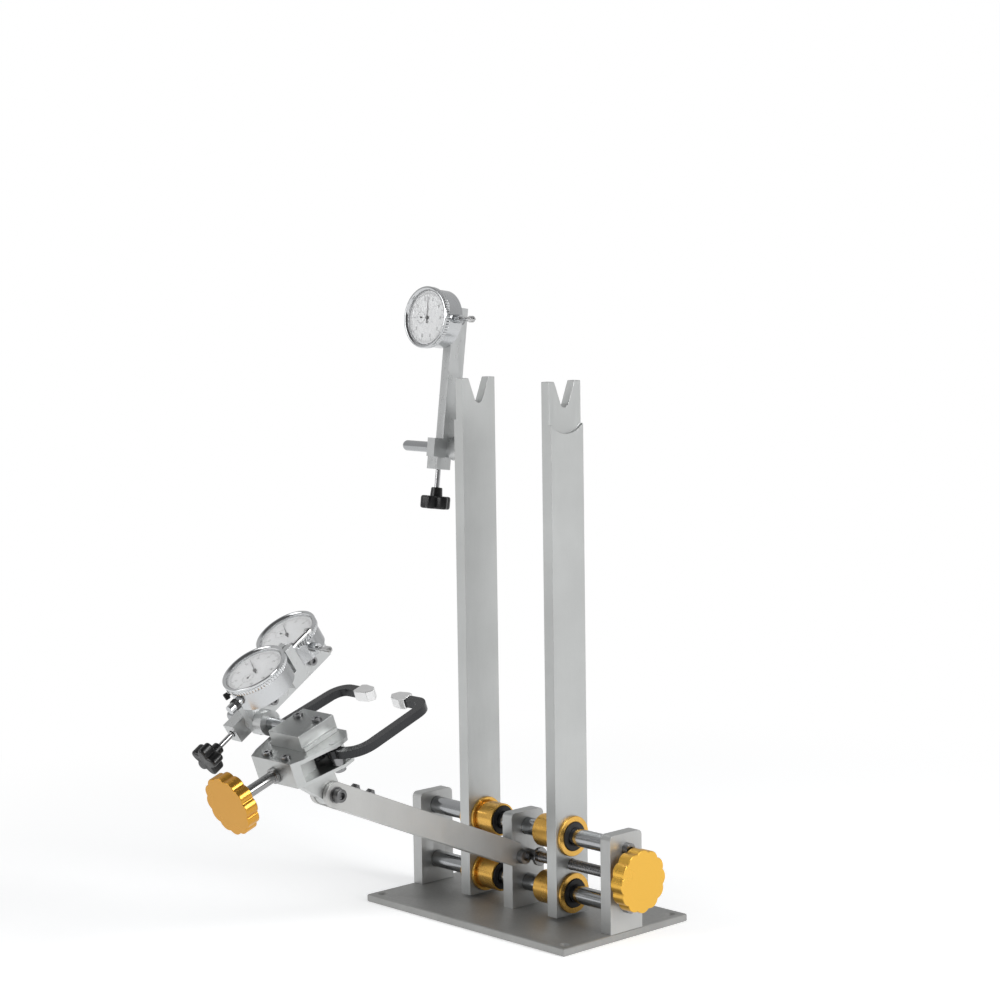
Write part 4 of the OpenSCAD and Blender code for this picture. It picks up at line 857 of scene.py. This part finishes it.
bezel_finish = ground("polished_bezel", (0.60, 0.61, 0.62), 0.13, (1, 1, 1), tone=0.05)
dial_finish = anodised("printed_dial", (0.50, 0.505, 0.51), 0.42, 0.25, 0.02)
needle_finish = anodised("black_needle", (0.012, 0.012, 0.013), 0.4, 0.0)
ink_finish = anodised("dial_ink", (0.03, 0.03, 0.032), 0.5, 0.0)
knurl_finish = ground("black_knurl", (0.02, 0.02, 0.021), 0.3, (1, 1, 1), 0.3)
probe_finish = ground("ground_probe", (0.60, 0.60, 0.60), 0.18, (1, 1, 1))
crystal_finish = clear_crystal()
for gauge, carrier in (("radial", "rim_arm"), ("lateral", "rim_arm"), ("side", "side_arm")):
    here = gauge_frame(gauge)
    eased(gauge + "_case", carrier, case_finish, 0.0004)
    ring = fluted(turned_grid(bezel_loop, 640), low=-0.0064, high=-0.0026, count=64, depth=0.0007)
    finished_piece(gauge + "_bezel_ring", loop_mesh(gauge + "_bezel_ring", in_frame(here, ring)),
                   bezel_finish, gauge + "_face", (gauge + "_bezel",), 28)
    eased(gauge + "_dial", gauge + "_face", dial_finish, 0.0001)
    finished_piece(gauge + "_dial_print", dial_prints(gauge + "_dial_print", here),
                   ink_finish, gauge + "_face")
    glass = surface_mesh(gauge + "_crystal", in_frame(here, turned_grid(crystal_profile, 96)), cap=False)
    finished_piece(gauge + "_crystal", glass, crystal_finish, gauge + "_face", (), 40)
    blade = joined(gauge + "_needle_blade", pointer_parts(NEEDLE_REST[gauge]), here)
    finished_piece(gauge + "_needle_blade", blade, needle_finish,
                   gauge + "_needle", (gauge + "_pointer",))
    eased(gauge + "_plunger", gauge + "_probe", probe_finish, 0.0002)
    counter = [(-0.0012, -0.0003), (-0.0012, 0.0003), (0.0038, 0.00006), (0.0038, -0.00006)]
    points = np.array([(x + COUNTER_X, y, DIAL_FACE + z) for z in (0.0002, 0.0004) for x, y in counter])
    finished_piece(gauge + "_counter_needle", joined(gauge + "_counter_needle", [(points, BOX_SIDES)], here),
                   needle_finish, gauge + "_face")
    hub = turned_grid([(0.0, 0.0), (0.0, 0.0009), (0.0006, 0.0009), (0.0008, 0.0006), (0.0008, 0.0)], 24)
    hub = in_frame(here @ Matrix.Translation((COUNTER_X, 0, DIAL_FACE)), hub)
    finished_piece(gauge + "_counter_hub", surface_mesh(gauge + "_counter_hub", hub, cap=False),
                   needle_finish, gauge + "_face")
    turn = math.radians(CLAMP_TURN)
    out = Vector((math.cos(turn), math.sin(turn), 0))
    barrel = axes_matrix((CLAMP_REACH * out.x, CLAMP_REACH * out.y, CLAMP_DEPTH), (0, 0, 1), out)
    profile = np.array([(0, 0), (0, 1.1), (2.2, 1.1), (2.2, 2.3), (2.5, 2.8), (2.8, 2.9), (6.0, 2.9),
                        (6.3, 2.8), (6.6, 2.3), (6.6, 0)]) / 1000
    knurl = fluted(turned_grid(profile, 160), low=0.0026, high=0.0062, count=20, depth=0.0003)
    grip = surface_mesh(gauge + "_bezel_clamp", in_frame(here @ barrel, knurl), cap=False)
    finished_piece(gauge + "_bezel_clamp", grip, knurl_finish, carrier)
    band = [(-33.2, 3.9), (-33.2, 4.5), (-32.9, 4.8), (-29.3, 4.8), (-29.0, 4.5), (-29.0, 3.9)]
    along = here @ axes_matrix((0, 0, STEM_DEPTH), (0, 1, 0), (1, 0, 0))
    sleeve = fluted(turned_grid(np.array(band) / 1000, 192), low=-0.0330, high=-0.0292, count=24, depth=0.0004)
    finished_piece(gauge + "_cap_ring", loop_mesh(gauge + "_cap_ring", in_frame(along, sleeve)),
                   knurl_finish, carrier)
